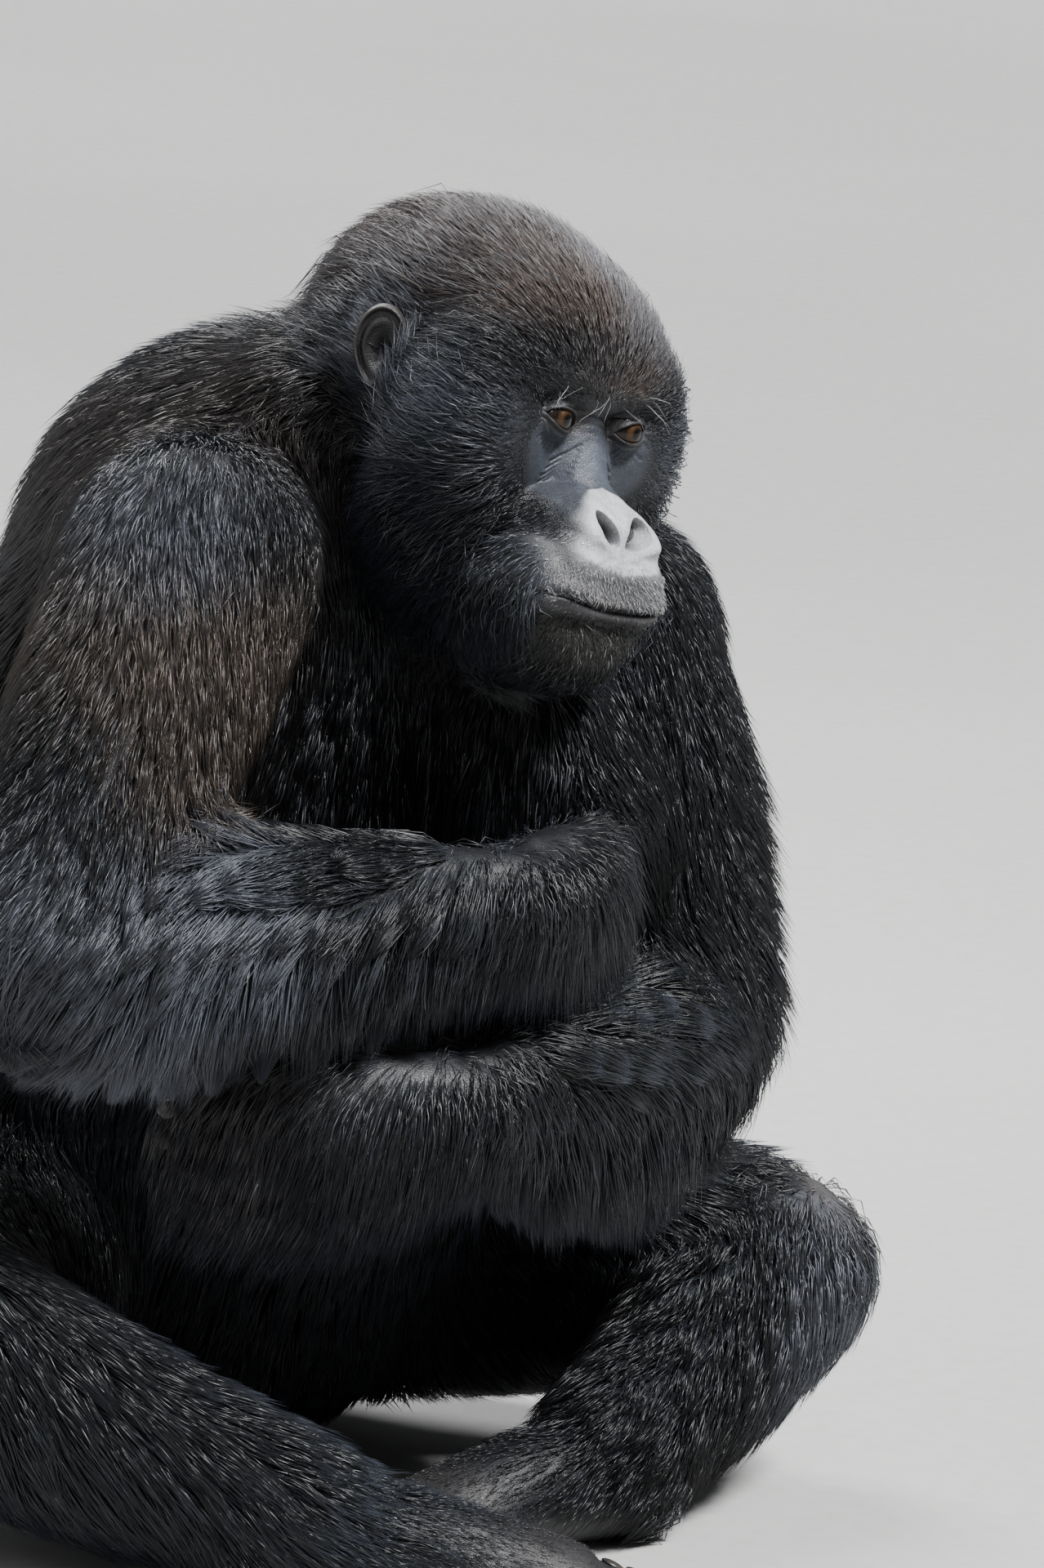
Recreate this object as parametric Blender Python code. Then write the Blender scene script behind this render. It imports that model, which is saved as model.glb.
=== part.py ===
"""A seated mountain gorilla with folded arms, as a still life-size model.

The animal faces -Y, its left side is +X, and it sits on z = 0. Every piece is
a closed solid out to the tips of the coat. Each is lofted or rounded on its
own, and then yields to the pieces before it, so that neighbours meet across
a thin gap.
"""

import math

import bmesh
import bpy
from mathutils import Euler, Matrix, Vector

gap = 0.0005  # between two pieces that meet
floorBite = 0.004  # how far a resting piece dips below the floor before it is cut flat

# Head, in its own frame: origin between the ears, face towards -Y.
headPlace = Vector((0.030, -0.130, 0.660))
headTurn = Euler((math.radians(-1.5), math.radians(9.7), math.radians(9.2)), "YXZ")
eyeSpacing = 0.064
eyeRadius = 0.0135
eyePlace = Vector((eyeSpacing / 2, -0.0945, 0.012))
earPlace = Vector((0.094, -0.009, 0.033))
earHeight = 0.054
earWidth = 0.037
earThickness = 0.009

# Joints, left side first. The right shoulder sits a little higher.
joints = {
    "left": {
        "shoulder": Vector((0.160, -0.118, 0.530)),
        "elbow": Vector((0.180, -0.212, 0.300)),
        "wrist": Vector((-0.055, -0.300, 0.294)),
        "knuckle": Vector((-0.130, -0.285, 0.272)),
        "fingertip": Vector((-0.200, -0.215, 0.262)),
        "hip": Vector((0.100, 0.055, 0.125)),
        "knee": Vector((0.330, -0.145, 0.132)),
        "ankle": Vector((0.115, -0.255, 0.058)),
        "ball": Vector((-0.030, -0.262, 0.034)),
        "toe": Vector((-0.095, -0.262, 0.024)),
    },
    "right": {
        "shoulder": Vector((-0.150, -0.115, 0.575)),
        "elbow": Vector((-0.320, -0.235, 0.378)),
        "wrist": Vector((-0.040, -0.305, 0.415)),
        "knuckle": Vector((0.040, -0.272, 0.405)),
        "fingertip": Vector((0.110, -0.212, 0.392)),
        "hip": Vector((-0.100, 0.055, 0.125)),
        "knee": Vector((-0.325, -0.140, 0.132)),
        "ankle": Vector((-0.155, -0.325, 0.058)),
        "ball": Vector((-0.015, -0.388, 0.034)),
        "toe": Vector((0.045, -0.412, 0.024)),
    },
}

# Half sizes of the limbs, coat included.
shoulderHalf = 0.086
upperArmHalf = 0.077
elbowHalf = 0.068
wristHalf = 0.040
fringe = {"left": 0.120, "right": 0.085}  # how far the hair hangs below each forearm
hipHalf = 0.125
thighHalf = 0.105
kneeHalf = 0.080
shinHalf = 0.066
ankleHalf = 0.046

# Trunk, from the seat up: height, centre Y, half width, half depth.
trunkLevels = (
    (0.020, 0.075, 0.150, 0.130),
    (0.100, 0.060, 0.215, 0.175),
    (0.220, 0.030, 0.225, 0.200),
    (0.340, 0.005, 0.220, 0.200),
    (0.440, -0.005, 0.212, 0.192),
    (0.500, -0.006, 0.200, 0.184),
    (0.548, 0.000, 0.174, 0.164),
)
waist = 0.300  # where the belly meets the chest


def paint(thing, color, roughness):
    material = bpy.data.materials.new(thing.name)
    material.use_nodes = True
    shader = material.node_tree.nodes["Principled BSDF"]
    shader.inputs["Base Color"].default_value = (*color, 1)
    shader.inputs["Roughness"].default_value = roughness
    shader.inputs["Metallic"].default_value = 0
    thing.data.materials.clear()
    thing.data.materials.append(material)


def newObject(name, mesh):
    thing = bpy.data.objects.new(name, mesh)
    bpy.context.scene.collection.objects.link(thing)
    return thing


def ring(mesh, center, along, up, halfWide, halfHigh, sides):
    """Adds one oval section, square to the line it is on."""
    wide = along.cross(up).normalized()
    high = wide.cross(along).normalized()
    points = []
    for step in range(sides):
        angle = math.tau * step / sides
        offset = wide * math.cos(angle) * halfWide + high * math.sin(angle) * halfHigh
        points.append(mesh.verts.new(center + offset))
    return points


def loft(mesh, stations, up=Vector((0, 0, 1)), sides=16, dome=1.0):
    """Skins a row of (center, half width, half height) sections and domes both ends."""
    centers = [Vector(station[0]) for station in stations]
    rings = []
    for index, (center, halfWide, halfHigh) in enumerate(stations):
        before = centers[max(index - 1, 0)]
        after = centers[min(index + 1, len(centers) - 1)]
        along = (after - before).normalized()
        ends = {0: -1, len(stations) - 1: 1}
        domes = [(0, 1)]
        if index in ends:
            reach = min(halfWide, halfHigh) * ends[index] * dome
            domes = [(math.sin(turn) * reach, math.cos(turn)) for turn in (0, 0.5, 1.0, 1.35)]
            domes = domes[::-1] if index == 0 else domes
        for shift, scale in domes:
            spot = Vector(center) + along * shift
            rings.append(ring(mesh, spot, along, up, halfWide * scale, halfHigh * scale, sides))
    for first, second in zip(rings, rings[1:]):
        for step in range(sides):
            after = (step + 1) % sides
            mesh.faces.new((first[step], first[after], second[after], second[step]))
    mesh.faces.new(rings[0][::-1])
    mesh.faces.new(rings[-1])


def evaluated(thing):
    """Applies an object's modifiers by swapping in its evaluated mesh."""
    bpy.context.view_layer.update()
    graph = bpy.context.evaluated_depsgraph_get()
    mesh = bpy.data.meshes.new_from_object(thing.evaluated_get(graph))
    thing.modifiers.clear()
    old = thing.data
    thing.data = mesh
    bpy.data.meshes.remove(old)


def blend(name, rows, grain, triangles, soften=6, **options):
    """Melts several lofts into one smooth closed piece of about that many triangles."""
    mesh = bmesh.new()
    for row in rows:
        loft(mesh, row, **options)
    bmesh.ops.recalc_face_normals(mesh, faces=mesh.faces)
    data = bpy.data.meshes.new(name)
    mesh.to_mesh(data)
    mesh.free()
    return melt(newObject(name, data), grain, triangles, soften)


def melt(thing, grain, triangles, soften):
    remesh = thing.modifiers.new("remesh", "REMESH")
    remesh.mode = "VOXEL"
    remesh.voxel_size = grain
    smooth = thing.modifiers.new("smooth", "SMOOTH")
    smooth.iterations = soften
    evaluated(thing)
    thing.modifiers.new("triangulate", "TRIANGULATE")
    thin = thing.modifiers.new("thin", "DECIMATE")
    thin.ratio = min(1, triangles / (2 * len(thing.data.polygons)))
    evaluated(thing)
    return thing


def reachOf(direction, center, half):
    """How far along a direction from the origin a rounded form's far side lies."""
    scaled = Vector((direction[axis] / half[axis] for axis in range(3)))
    start = Vector((-center[axis] / half[axis] for axis in range(3)))
    a = scaled.dot(scaled)
    b = start.dot(scaled)
    c = start.dot(start) - 1
    inside = b * b - a * c
    return (-b + math.sqrt(inside)) / a if inside > 0 else 0


def headForms():
    """The rounded forms of the head with its coat: center and half sizes."""
    forms = [
        ((0, 0.005, 0.045), (0.092, 0.105, 0.095)),  # crown
        ((0, -0.045, 0.055), (0.083, 0.075, 0.060)),  # forehead
        ((0, -0.078, 0.034), (0.088, 0.050, 0.024)),  # brow ridge
        ((0, -0.062, -0.012), (0.070, 0.046, 0.060)),  # face
        ((0, -0.092, -0.078), (0.056, 0.059, 0.044)),  # muzzle
        ((0, -0.128, -0.044), (0.036, 0.024, 0.023)),  # nose
        ((0, -0.088, -0.112), (0.052, 0.048, 0.036)),  # chin
        ((0, -0.020, -0.080), (0.080, 0.080, 0.085)),  # throat ruff
    ]
    for side in (-1, 1):
        forms.append(((side * 0.062, -0.064, -0.002), (0.049, 0.050, 0.064)))  # temple hair
        forms.append(((side * 0.056, -0.022, -0.050), (0.058, 0.070, 0.092)))  # cheek ruff
    return forms


def headReach(direction, forms, sharpness=160):
    """A soft maximum over the forms, so that they run into each other."""
    reaches = [reachOf(direction, center, half) for center, half in forms]
    highest = max(reaches)
    total = sum(math.exp(sharpness * (reach - highest)) for reach in reaches if reach > 0)
    return highest + math.log(total) / sharpness


def dent(point, center, half, depth):
    """A soft hollow: how far a point near center is pushed in."""
    away = sum(((point[axis] - center[axis]) / half[axis]) ** 2 for axis in range(3))
    return depth * math.exp(-away)


def makeHead():
    forms = headForms()
    mesh = bmesh.new()
    bmesh.ops.create_icosphere(mesh, subdivisions=6, radius=1)
    for vertex in mesh.verts:
        direction = vertex.co.normalized()
        point = direction * headReach(direction, forms)
        inward = 0
        for side in (-1, 1):
            inward += dent(point, (side * 0.033, -0.108, 0.008), (0.019, 0.03, 0.014), 0.013)
            inward += dent(point, (side * 0.013, -0.150, -0.050), (0.008, 0.02, 0.007), 0.006)
        inward += dent(point, (0, -0.150, -0.092), (0.040, 0.03, 0.005), 0.003)
        vertex.co = point - direction * inward
    data = bpy.data.meshes.new("head")
    mesh.to_mesh(data)
    mesh.free()
    head = newObject("head", data)
    head.modifiers.new("triangulate", "TRIANGULATE")
    thin = head.modifiers.new("thin", "DECIMATE")
    thin.ratio = 1200 / len(head.data.polygons)
    evaluated(head)
    return head


def makeEye(side, name):
    mesh = bmesh.new()
    bmesh.ops.create_icosphere(mesh, subdivisions=2, radius=eyeRadius)
    place = Vector((eyePlace.x * side, eyePlace.y, eyePlace.z))
    bmesh.ops.translate(mesh, verts=mesh.verts, vec=place)
    data = bpy.data.meshes.new(name)
    mesh.to_mesh(data)
    mesh.free()
    return newObject(name, data)


def makeEar(side, name):
    """An oval shell that stands off the head, hollowed by its bowl."""
    mesh = bmesh.new()
    bmesh.ops.create_uvsphere(mesh, u_segments=14, v_segments=9, radius=1)
    for vertex in mesh.verts:
        across, outward, high = vertex.co.x, vertex.co.y, vertex.co.z
        bowl = 0.9 * math.exp(-(across * across + high * high) * 2.6) if outward > 0 else 0
        vertex.co = Vector((
            (outward - bowl) * earThickness + 0.002,
            across * earWidth / 2 * (1 - 0.18 * high * (high < 0)),
            high * earHeight / 2,
        ))
    turn = Euler((0, math.radians(8), math.radians(-34))).to_matrix()
    bmesh.ops.transform(mesh, matrix=turn.to_4x4(), verts=mesh.verts)
    bmesh.ops.translate(mesh, verts=mesh.verts, vec=earPlace)
    bmesh.ops.scale(mesh, verts=mesh.verts, vec=(side, 1, 1))
    if side < 0:
        bmesh.ops.reverse_faces(mesh, faces=mesh.faces)
    data = bpy.data.meshes.new(name)
    mesh.to_mesh(data)
    mesh.free()
    return newObject(name, data)


def seatHead(thing):
    """Moves a piece from the head's own frame to its place on the neck."""
    thing.data.transform(Matrix.LocRotScale(headPlace, headTurn, None))


def between(first, second, share):
    return first.lerp(second, share)


def makeUpperArm(name, joint):
    start, end = joint["shoulder"], joint["elbow"]
    rows = [[
        (start, shoulderHalf, shoulderHalf),
        (between(start, end, 0.35), upperArmHalf, upperArmHalf),
        (between(start, end, 0.70), upperArmHalf * 0.94, upperArmHalf * 0.94),
        (between(start, end, 0.96), elbowHalf * 0.8, elbowHalf * 0.8),
    ]]
    return blend(name, rows, 0.009, 240)


def makeForearm(name, joint, hang):
    """The arm itself, and under it the curtain of long hair that hangs from it."""
    start, end = joint["elbow"], joint["wrist"]
    arm = [
        (start, elbowHalf, elbowHalf),
        (between(start, end, 0.35), elbowHalf * 0.88, elbowHalf * 0.92),
        (between(start, end, 0.75), wristHalf * 1.25, wristHalf * 1.35),
        (end, wristHalf, wristHalf),
    ]
    curtain = []
    for share, drop, half in ((-0.06, 0.62, 0.044), (0.2, 0.95, 0.046), (0.55, 1.0, 0.042),
                              (0.9, 0.85, 0.034)):
        middle = between(start, end, share) - Vector((0, 0, hang * drop * 0.62))
        curtain.append((middle, half, hang * drop * 0.62 + 0.012))
    return blend(name, [arm, curtain], 0.008, 400)


def makeHand(name, joint):
    """A palm with four curled fingers side by side and a thumb on top."""
    wrist, knuckle, tip = joint["wrist"], joint["knuckle"], joint["fingertip"]
    rows = [[
        (wrist, 0.034, 0.026),
        (between(wrist, knuckle, 0.6), 0.032, 0.043),
        (knuckle, 0.027, 0.044),
    ]]
    for finger in range(4):
        drop = Vector((0, 0, 0.034 - 0.0225 * finger))
        bend = between(knuckle, tip, 0.5) + (knuckle - wrist) * 0.06
        end = tip + drop * 0.85 - (tip - knuckle) * (0.10 if finger in (0, 3) else 0)
        rows.append([(knuckle + drop, 0.014, 0.0135), (bend + drop, 0.0135, 0.013), (end, 0.0115, 0.011)])
    thumb = between(wrist, knuckle, 0.25) + Vector((0, 0, 0.030))
    rows.append([(thumb, 0.014, 0.014), (between(thumb, knuckle + Vector((0, 0, 0.052)), 0.9), 0.011, 0.011)])
    return blend(name, rows, 0.0045, 290, soften=3)


def makeThigh(name, joint):
    start, end = joint["hip"], joint["knee"]
    rows = [[
        (start, hipHalf, hipHalf + floorBite),
        (between(start, end, 0.45), thighHalf, thighHalf + floorBite),
        (between(start, end, 0.84), kneeHalf * 1.03, kneeHalf * 1.05),
        (between(start, end, 0.95), kneeHalf * 0.8, kneeHalf * 0.8),
    ]]
    return blend(name, rows, 0.010, 260)


def makeShin(name, joint):
    start, end = joint["knee"], joint["ankle"]
    rows = [[
        (start, kneeHalf, kneeHalf),
        (between(start, end, 0.30) - Vector((0, 0, 0.010)), shinHalf * 1.1, shinHalf * 1.3),
        (between(start, end, 0.65) - Vector((0, 0, 0.012)), shinHalf * 0.95, shinHalf * 1.08),
        (end, ankleHalf, ankleHalf * 1.1),
    ]]
    return blend(name, rows, 0.009, 280)


def makeFoot(name, joint):
    """A flat foot with four short toes and a big toe that stands apart like a thumb."""
    ankle, ball, toe = joint["ankle"], joint["ball"], joint["toe"]
    forward = Vector(((ball - ankle).x, (ball - ankle).y, 0)).normalized()
    inner = Vector((-forward.y, forward.x, 0)) * (1 if forward.x < 0 else -1)
    sole = 0.024
    heel = Vector((ankle.x, ankle.y, 0.030)) - forward * 0.034
    rows = [[
        (heel, 0.030, 0.030 + floorBite),
        (Vector((ankle.x, ankle.y, 0.042)), 0.036, 0.042 + floorBite),
        (between(ankle, ball, 0.5) - Vector((0, 0, 0.010)), 0.037, 0.036 + floorBite),
        (Vector((ball.x, ball.y, sole)), 0.041, sole + floorBite),
    ]]
    for index in range(4):
        side = inner * (0.022 - 0.0185 * index)
        back = forward * (0.010 * index)
        rows.append([
            (Vector((ball.x, ball.y, 0.020)) + side - back * 0.4, 0.0125, 0.0165 + floorBite),
            (Vector((toe.x, toe.y, 0.014)) + side - back, 0.0105, 0.0125 + floorBite),
        ])
    root = between(Vector((ankle.x, ankle.y, 0.026)), Vector((ball.x, ball.y, 0.026)), 0.62)
    rows.append([
        (root + inner * 0.018, 0.018, 0.020 + floorBite),
        (root + inner * 0.046 + forward * 0.030 - Vector((0, 0, 0.006)), 0.015, 0.016 + floorBite),
        (root + inner * 0.058 + forward * 0.056 - Vector((0, 0, 0.010)), 0.0125, 0.013 + floorBite),
    ])
    return blend(name, rows, 0.0048, 350, soften=3)


def makeNeck():
    rows = [[
        (Vector((0.000, -0.010, 0.560)), 0.105, 0.080),
        (Vector((0.008, -0.020, 0.596)), 0.110, 0.092),
        (Vector((0.020, -0.070, 0.636)), 0.098, 0.084),
    ]]
    return blend("neck", rows, 0.009, 180)


def makeTrunk():
    """The barrel of the body, with the hump between the shoulders."""
    barrel = [(Vector((0, y, z)), halfWide, halfDeep) for z, y, halfWide, halfDeep in trunkLevels]
    rows = [barrel]
    for side in (-1, 1):
        lift = 0.018 if side < 0 else -0.018
        rows.append([
            (Vector((side * 0.060, 0.010, 0.570 + lift * 0.4)), 0.080, 0.075),
            (Vector((side * 0.115, -0.055, 0.545 + lift)), 0.085, 0.085),
        ])
        rows.append([
            (Vector((side * 0.095, 0.115, 0.090)), 0.100, 0.085 + floorBite),
            (Vector((side * 0.100, 0.060, 0.105)), 0.115, 0.105 + floorBite),
        ])
    return blend("trunk", rows, 0.012, 560, soften=8, up=Vector((0, 1, 0)), dome=0.93)


def cutterOf(thing):
    """A slightly swollen copy, kept out of the model, that cuts the pieces after it."""
    copy = newObject("cutter_" + thing.name, thing.data.copy())
    swell = copy.modifiers.new("swell", "DISPLACE")
    swell.strength = gap
    swell.mid_level = 0
    evaluated(copy)
    copy.hide_render = True
    copy.display_type = "WIRE"
    return copy


def boxOf(thing):
    points = [vertex.co for vertex in thing.data.vertices]
    low = Vector((min(point[axis] for point in points) for axis in range(3)))
    high = Vector((max(point[axis] for point in points) for axis in range(3)))
    return low, high


def touching(first, second):
    lowA, highA = boxOf(first)
    lowB, highB = boxOf(second)
    return all(lowA[axis] < highB[axis] and lowB[axis] < highA[axis] for axis in range(3))


def carve(thing, cutter):
    cut = thing.modifiers.new("cut", "BOOLEAN")
    cut.operation = "DIFFERENCE"
    cut.object = cutter
    evaluated(thing)


def keepLargest(thing):
    """Drops the slivers that a cut leaves behind, and welds what it doubled."""
    mesh = bmesh.new()
    mesh.from_mesh(thing.data)
    bmesh.ops.remove_doubles(mesh, verts=mesh.verts, dist=0.00002)
    bmesh.ops.dissolve_degenerate(mesh, edges=mesh.edges, dist=0.00002)
    seen = set()
    islands = []
    for start in mesh.verts:
        if start in seen:
            continue
        island, todo = [], [start]
        seen.add(start)
        while todo:
            vertex = todo.pop()
            island.append(vertex)
            for edge in vertex.link_edges:
                other = edge.other_vert(vertex)
                if other not in seen:
                    seen.add(other)
                    todo.append(other)
        islands.append(island)
    islands.sort(key=len)
    for island in islands[:-1]:
        bmesh.ops.delete(mesh, geom=island, context="VERTS")
    bmesh.ops.triangulate(mesh, faces=mesh.faces)
    mesh.to_mesh(thing.data)
    mesh.free()


def makeFloor():
    mesh = bmesh.new()
    bmesh.ops.create_cube(mesh, size=2)
    bmesh.ops.translate(mesh, verts=mesh.verts, vec=(0, 0, -1))
    data = bpy.data.meshes.new("cutter_floor")
    mesh.to_mesh(data)
    mesh.free()
    floor = newObject("cutter_floor", data)
    floor.hide_render = True
    floor.display_type = "WIRE"
    return floor


def split(thing, height, lowerName, upperName):
    """Parts a piece with one level cut, leaving the thin gap."""
    halves = []
    for name, level, keepUpper in ((lowerName, height - gap, False), (upperName, height + gap, True)):
        half = newObject(name, thing.data.copy())
        mesh = bmesh.new()
        mesh.from_mesh(half.data)
        geometry = mesh.verts[:] + mesh.edges[:] + mesh.faces[:]
        bmesh.ops.bisect_plane(mesh, geom=geometry, plane_co=(0, 0, level), plane_no=(0, 0, 1),
                               clear_inner=keepUpper, clear_outer=not keepUpper)
        bmesh.ops.holes_fill(mesh, edges=[edge for edge in mesh.edges if edge.is_boundary])
        bmesh.ops.triangulate(mesh, faces=mesh.faces)
        bmesh.ops.recalc_face_normals(mesh, faces=mesh.faces)
        mesh.to_mesh(half.data)
        mesh.free()
        halves.append(half)
    bpy.data.objects.remove(thing)
    return halves


fur = (0.020, 0.021, 0.024)
brownFur = (0.070, 0.052, 0.042)
bareSkin = (0.040, 0.042, 0.048)


def makeAll():
    """Every piece in order: each yields to all those before it."""
    pieces = []

    def add(thing, color, roughness):
        paint(thing, color, roughness)
        pieces.append(thing)

    for side, word in ((1, "left"), (-1, "right")):
        add(makeEye(side, "eye_" + word), (0.16, 0.06, 0.02), 0.1)
    add(makeHead(), fur, 0.7)
    for side, word in ((1, "left"), (-1, "right")):
        add(makeEar(side, "ear_" + word), bareSkin, 0.5)
    for thing in pieces:
        seatHead(thing)
    add(makeNeck(), brownFur, 0.8)
    for word in ("right", "left"):
        add(makeForearm("forearm_" + word, joints[word], fringe[word]), fur, 0.7)
        add(makeUpperArm("upper_arm_" + word, joints[word]), brownFur, 0.8)
    for word in ("right", "left"):
        add(makeHand("hand_" + word, joints[word]), bareSkin, 0.6)
    for word in ("right", "left"):
        add(makeFoot("foot_" + word, joints[word]), bareSkin, 0.6)
        add(makeShin("shin_" + word, joints[word]), fur, 0.7)
    for word in ("right", "left"):
        add(makeThigh("thigh_" + word, joints[word]), fur, 0.7)
    for thing in split(makeTrunk(), waist, "belly", "chest"):
        add(thing, fur, 0.7)
    return pieces


def fitTogether(pieces):
    cutters = [cutterOf(thing) for thing in pieces]
    floor = makeFloor()
    for index, thing in enumerate(pieces):
        for cutter in cutters[:index]:
            if touching(thing, cutter):
                carve(thing, cutter)
        if boxOf(thing)[0].z < 0:
            carve(thing, floor)
        keepLargest(thing)
        thing.data.shade_smooth()
        thing.data.set_sharp_from_angle(angle=math.radians(40))
    for cutter in [*cutters, floor]:
        bpy.data.objects.remove(cutter)


def centre(pieces):
    """Puts the origin under the middle of the animal's box."""
    boxes = [boxOf(thing) for thing in pieces]
    shift = Vector((0, 0, 0))
    for axis in (0, 1):
        shift[axis] = -(min(low[axis] for low, _ in boxes) + max(high[axis] for _, high in boxes)) / 2
    for thing in pieces:
        thing.data.transform(Matrix.Translation(shift))


for leftover in list(bpy.data.objects):
    bpy.data.objects.remove(leftover)
gorilla = makeAll()
fitTogether(gorilla)
centre(gorilla)
for thing in gorilla:
    low, high = boxOf(thing)
    print(thing.name, len(thing.data.polygons), [round(value, 3) for value in (*low, *high)])
print("triangles", sum(len(thing.data.polygons) for thing in gorilla))
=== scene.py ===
import math

import bmesh
import bpy
import numpy as np
from mathutils import Euler, Matrix, Vector
from mathutils.bvhtree import BVHTree


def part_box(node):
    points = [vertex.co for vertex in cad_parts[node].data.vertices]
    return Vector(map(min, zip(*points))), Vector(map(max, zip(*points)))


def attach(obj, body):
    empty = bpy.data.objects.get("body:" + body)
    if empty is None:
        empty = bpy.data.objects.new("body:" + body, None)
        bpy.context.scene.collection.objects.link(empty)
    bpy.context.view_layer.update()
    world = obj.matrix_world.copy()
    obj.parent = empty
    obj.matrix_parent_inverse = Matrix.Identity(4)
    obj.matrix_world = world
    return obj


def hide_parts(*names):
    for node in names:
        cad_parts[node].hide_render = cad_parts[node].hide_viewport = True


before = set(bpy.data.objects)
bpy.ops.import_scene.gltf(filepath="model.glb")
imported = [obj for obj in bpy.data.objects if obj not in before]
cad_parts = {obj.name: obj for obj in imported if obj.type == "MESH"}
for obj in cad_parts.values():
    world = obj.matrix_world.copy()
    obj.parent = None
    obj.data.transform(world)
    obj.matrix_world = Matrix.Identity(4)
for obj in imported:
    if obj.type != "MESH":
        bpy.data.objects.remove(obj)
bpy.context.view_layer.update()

bpy.ops.object.select_all(action="DESELECT")
rng = np.random.default_rng(11)

# where things are: the seated animal faces -Y and its left is +X

head = {
    "place": (0.030, -0.130, 0.660),  # between the ears
    "turn": (-1.5, 9.7, 9.2),  # degrees, nod, tilt and look to its left
    "eye": (0.032, -0.0945, 0.012),  # in the head's own frame
    "eyeRadius": 0.0133,
}
headTurn = Euler([math.radians(angle) for angle in head["turn"]], "YXZ").to_matrix()
eyeLow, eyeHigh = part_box("eye_left")
shift = (eyeLow + eyeHigh) / 2 - (headTurn @ Vector(head["eye"]) + Vector(head["place"]))
headPlace = Vector(head["place"]) + shift
headSeat = Matrix.LocRotScale(headPlace, headTurn, None)
headAxes = np.array(headTurn)
headSpot = np.array(headPlace)


def at(x, y, z):
    return Vector((x, y, z)) + shift


pose = {
    "left": {
        "shoulder": at(0.160, -0.118, 0.530), "elbow": at(0.180, -0.212, 0.300),
        "wrist": at(-0.055, -0.300, 0.294), "knuckle": at(-0.130, -0.285, 0.272),
        "fingertip": at(-0.200, -0.215, 0.262), "hip": at(0.100, 0.055, 0.125),
        "knee": at(0.330, -0.145, 0.132), "ankle": at(0.115, -0.255, 0.058),
        "ball": at(-0.030, -0.262, 0.034), "toe": at(-0.095, -0.262, 0.024),
    },
    "right": {
        "shoulder": at(-0.150, -0.115, 0.575), "elbow": at(-0.320, -0.235, 0.378),
        "wrist": at(-0.040, -0.305, 0.415), "knuckle": at(0.040, -0.272, 0.405),
        "fingertip": at(0.110, -0.212, 0.392), "hip": at(-0.100, 0.055, 0.125),
        "knee": at(-0.325, -0.140, 0.132), "ankle": at(-0.155, -0.325, 0.058),
        "ball": at(-0.015, -0.388, 0.034), "toe": at(0.045, -0.412, 0.024),
    },
}
skinSizes = {  # half sizes of the flesh, without its coat
    "shoulder": 0.070, "upperArm": 0.062, "elbow": 0.050, "wrist": 0.029,
    "hip": 0.106, "thigh": 0.086, "knee": 0.062, "shin": 0.047, "ankle": 0.036,
}
trunkLevels = (  # height, how far back, half width and half depth of the flesh
    (0.040, 0.075, 0.128, 0.108), (0.100, 0.060, 0.192, 0.152), (0.220, 0.030, 0.202, 0.177),
    (0.340, 0.005, 0.197, 0.177), (0.440, -0.005, 0.190, 0.170), (0.500, -0.006, 0.178, 0.162),
    (0.546, 0.000, 0.152, 0.142),
)


# small helpers

def linked(name, data):
    made = bpy.data.objects.new(name, data)
    bpy.context.scene.collection.objects.link(made)
    return made


def newPiece(name, mesh):
    data = bpy.data.meshes.new(name)
    mesh.to_mesh(data)
    mesh.free()
    return linked(name, data)


def applied(piece):  # swaps in the mesh that the modifiers give
    bpy.context.view_layer.update()
    graph = bpy.context.evaluated_depsgraph_get()
    fresh = bpy.data.meshes.new_from_object(piece.evaluated_get(graph))
    piece.modifiers.clear()
    stale = piece.data
    piece.data = fresh
    bpy.data.meshes.remove(stale)
    fresh.name = piece.name
    return piece


def readRows(items, key, width, kind=np.float32):  # one property of every item
    flat = np.empty(len(items) * width, kind)
    items.foreach_get(key, flat)
    return flat.reshape(-1, width)


def pointsOf(mesh):
    return readRows(mesh.vertices, "co", 3).astype(float)


def normalsOf(mesh):
    return readRows(mesh.vertices, "normal", 3).astype(float)


def setPoints(mesh, points):
    mesh.vertices.foreach_set("co", points.astype(np.float32).ravel())
    mesh.update()


def unit(vectors):
    return vectors / np.maximum(np.linalg.norm(vectors, axis=-1, keepdims=True), 1e-9)


def ease(value, start, end):  # 0 before start, 1 past end, smooth between
    share = np.clip((value - start) / (end - start), 0, 1)
    return share * share * (3 - 2 * share)


def fade(value, start, end):  # 1 before start, 0 past end
    return 1 - ease(value, start, end)


def mix(first, second, share):
    return first + (second - first) * share


def band(value, width):  # 1 at nought, falling away over width
    return np.exp(-(value / width) ** 2)


def away(points, spot):
    return np.linalg.norm(points - spot, axis=1)


def alongRun(points, start, end):  # how far along a line each point lies, 0 at its start and 1 at its end
    run = end - start
    return (points - start) @ run / (run @ run)


def facingFrom(azimuth, elevation):
    turn, lift = math.radians(azimuth), math.radians(elevation)
    return Vector((math.sin(turn) * math.cos(lift), -math.cos(turn) * math.cos(lift), math.sin(lift)))


def ripple(points, scale, seed):  # smooth noise from crossed waves, about -1 to 1
    dice = np.random.default_rng(seed)
    total = np.zeros(len(points))
    for _ in range(5):
        lean = unit(dice.normal(size=3)) * scale * dice.uniform(0.6, 1.5)
        side = unit(dice.normal(size=3)) * scale * dice.uniform(0.5, 1.1)
        inner = 1.7 * np.sin(points @ side + dice.uniform(0, 6))
        total += np.sin(points @ lean + inner + dice.uniform(0, 6))
    return total / 3.2


# the skin of body and limbs, as swept sections melted together

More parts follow.
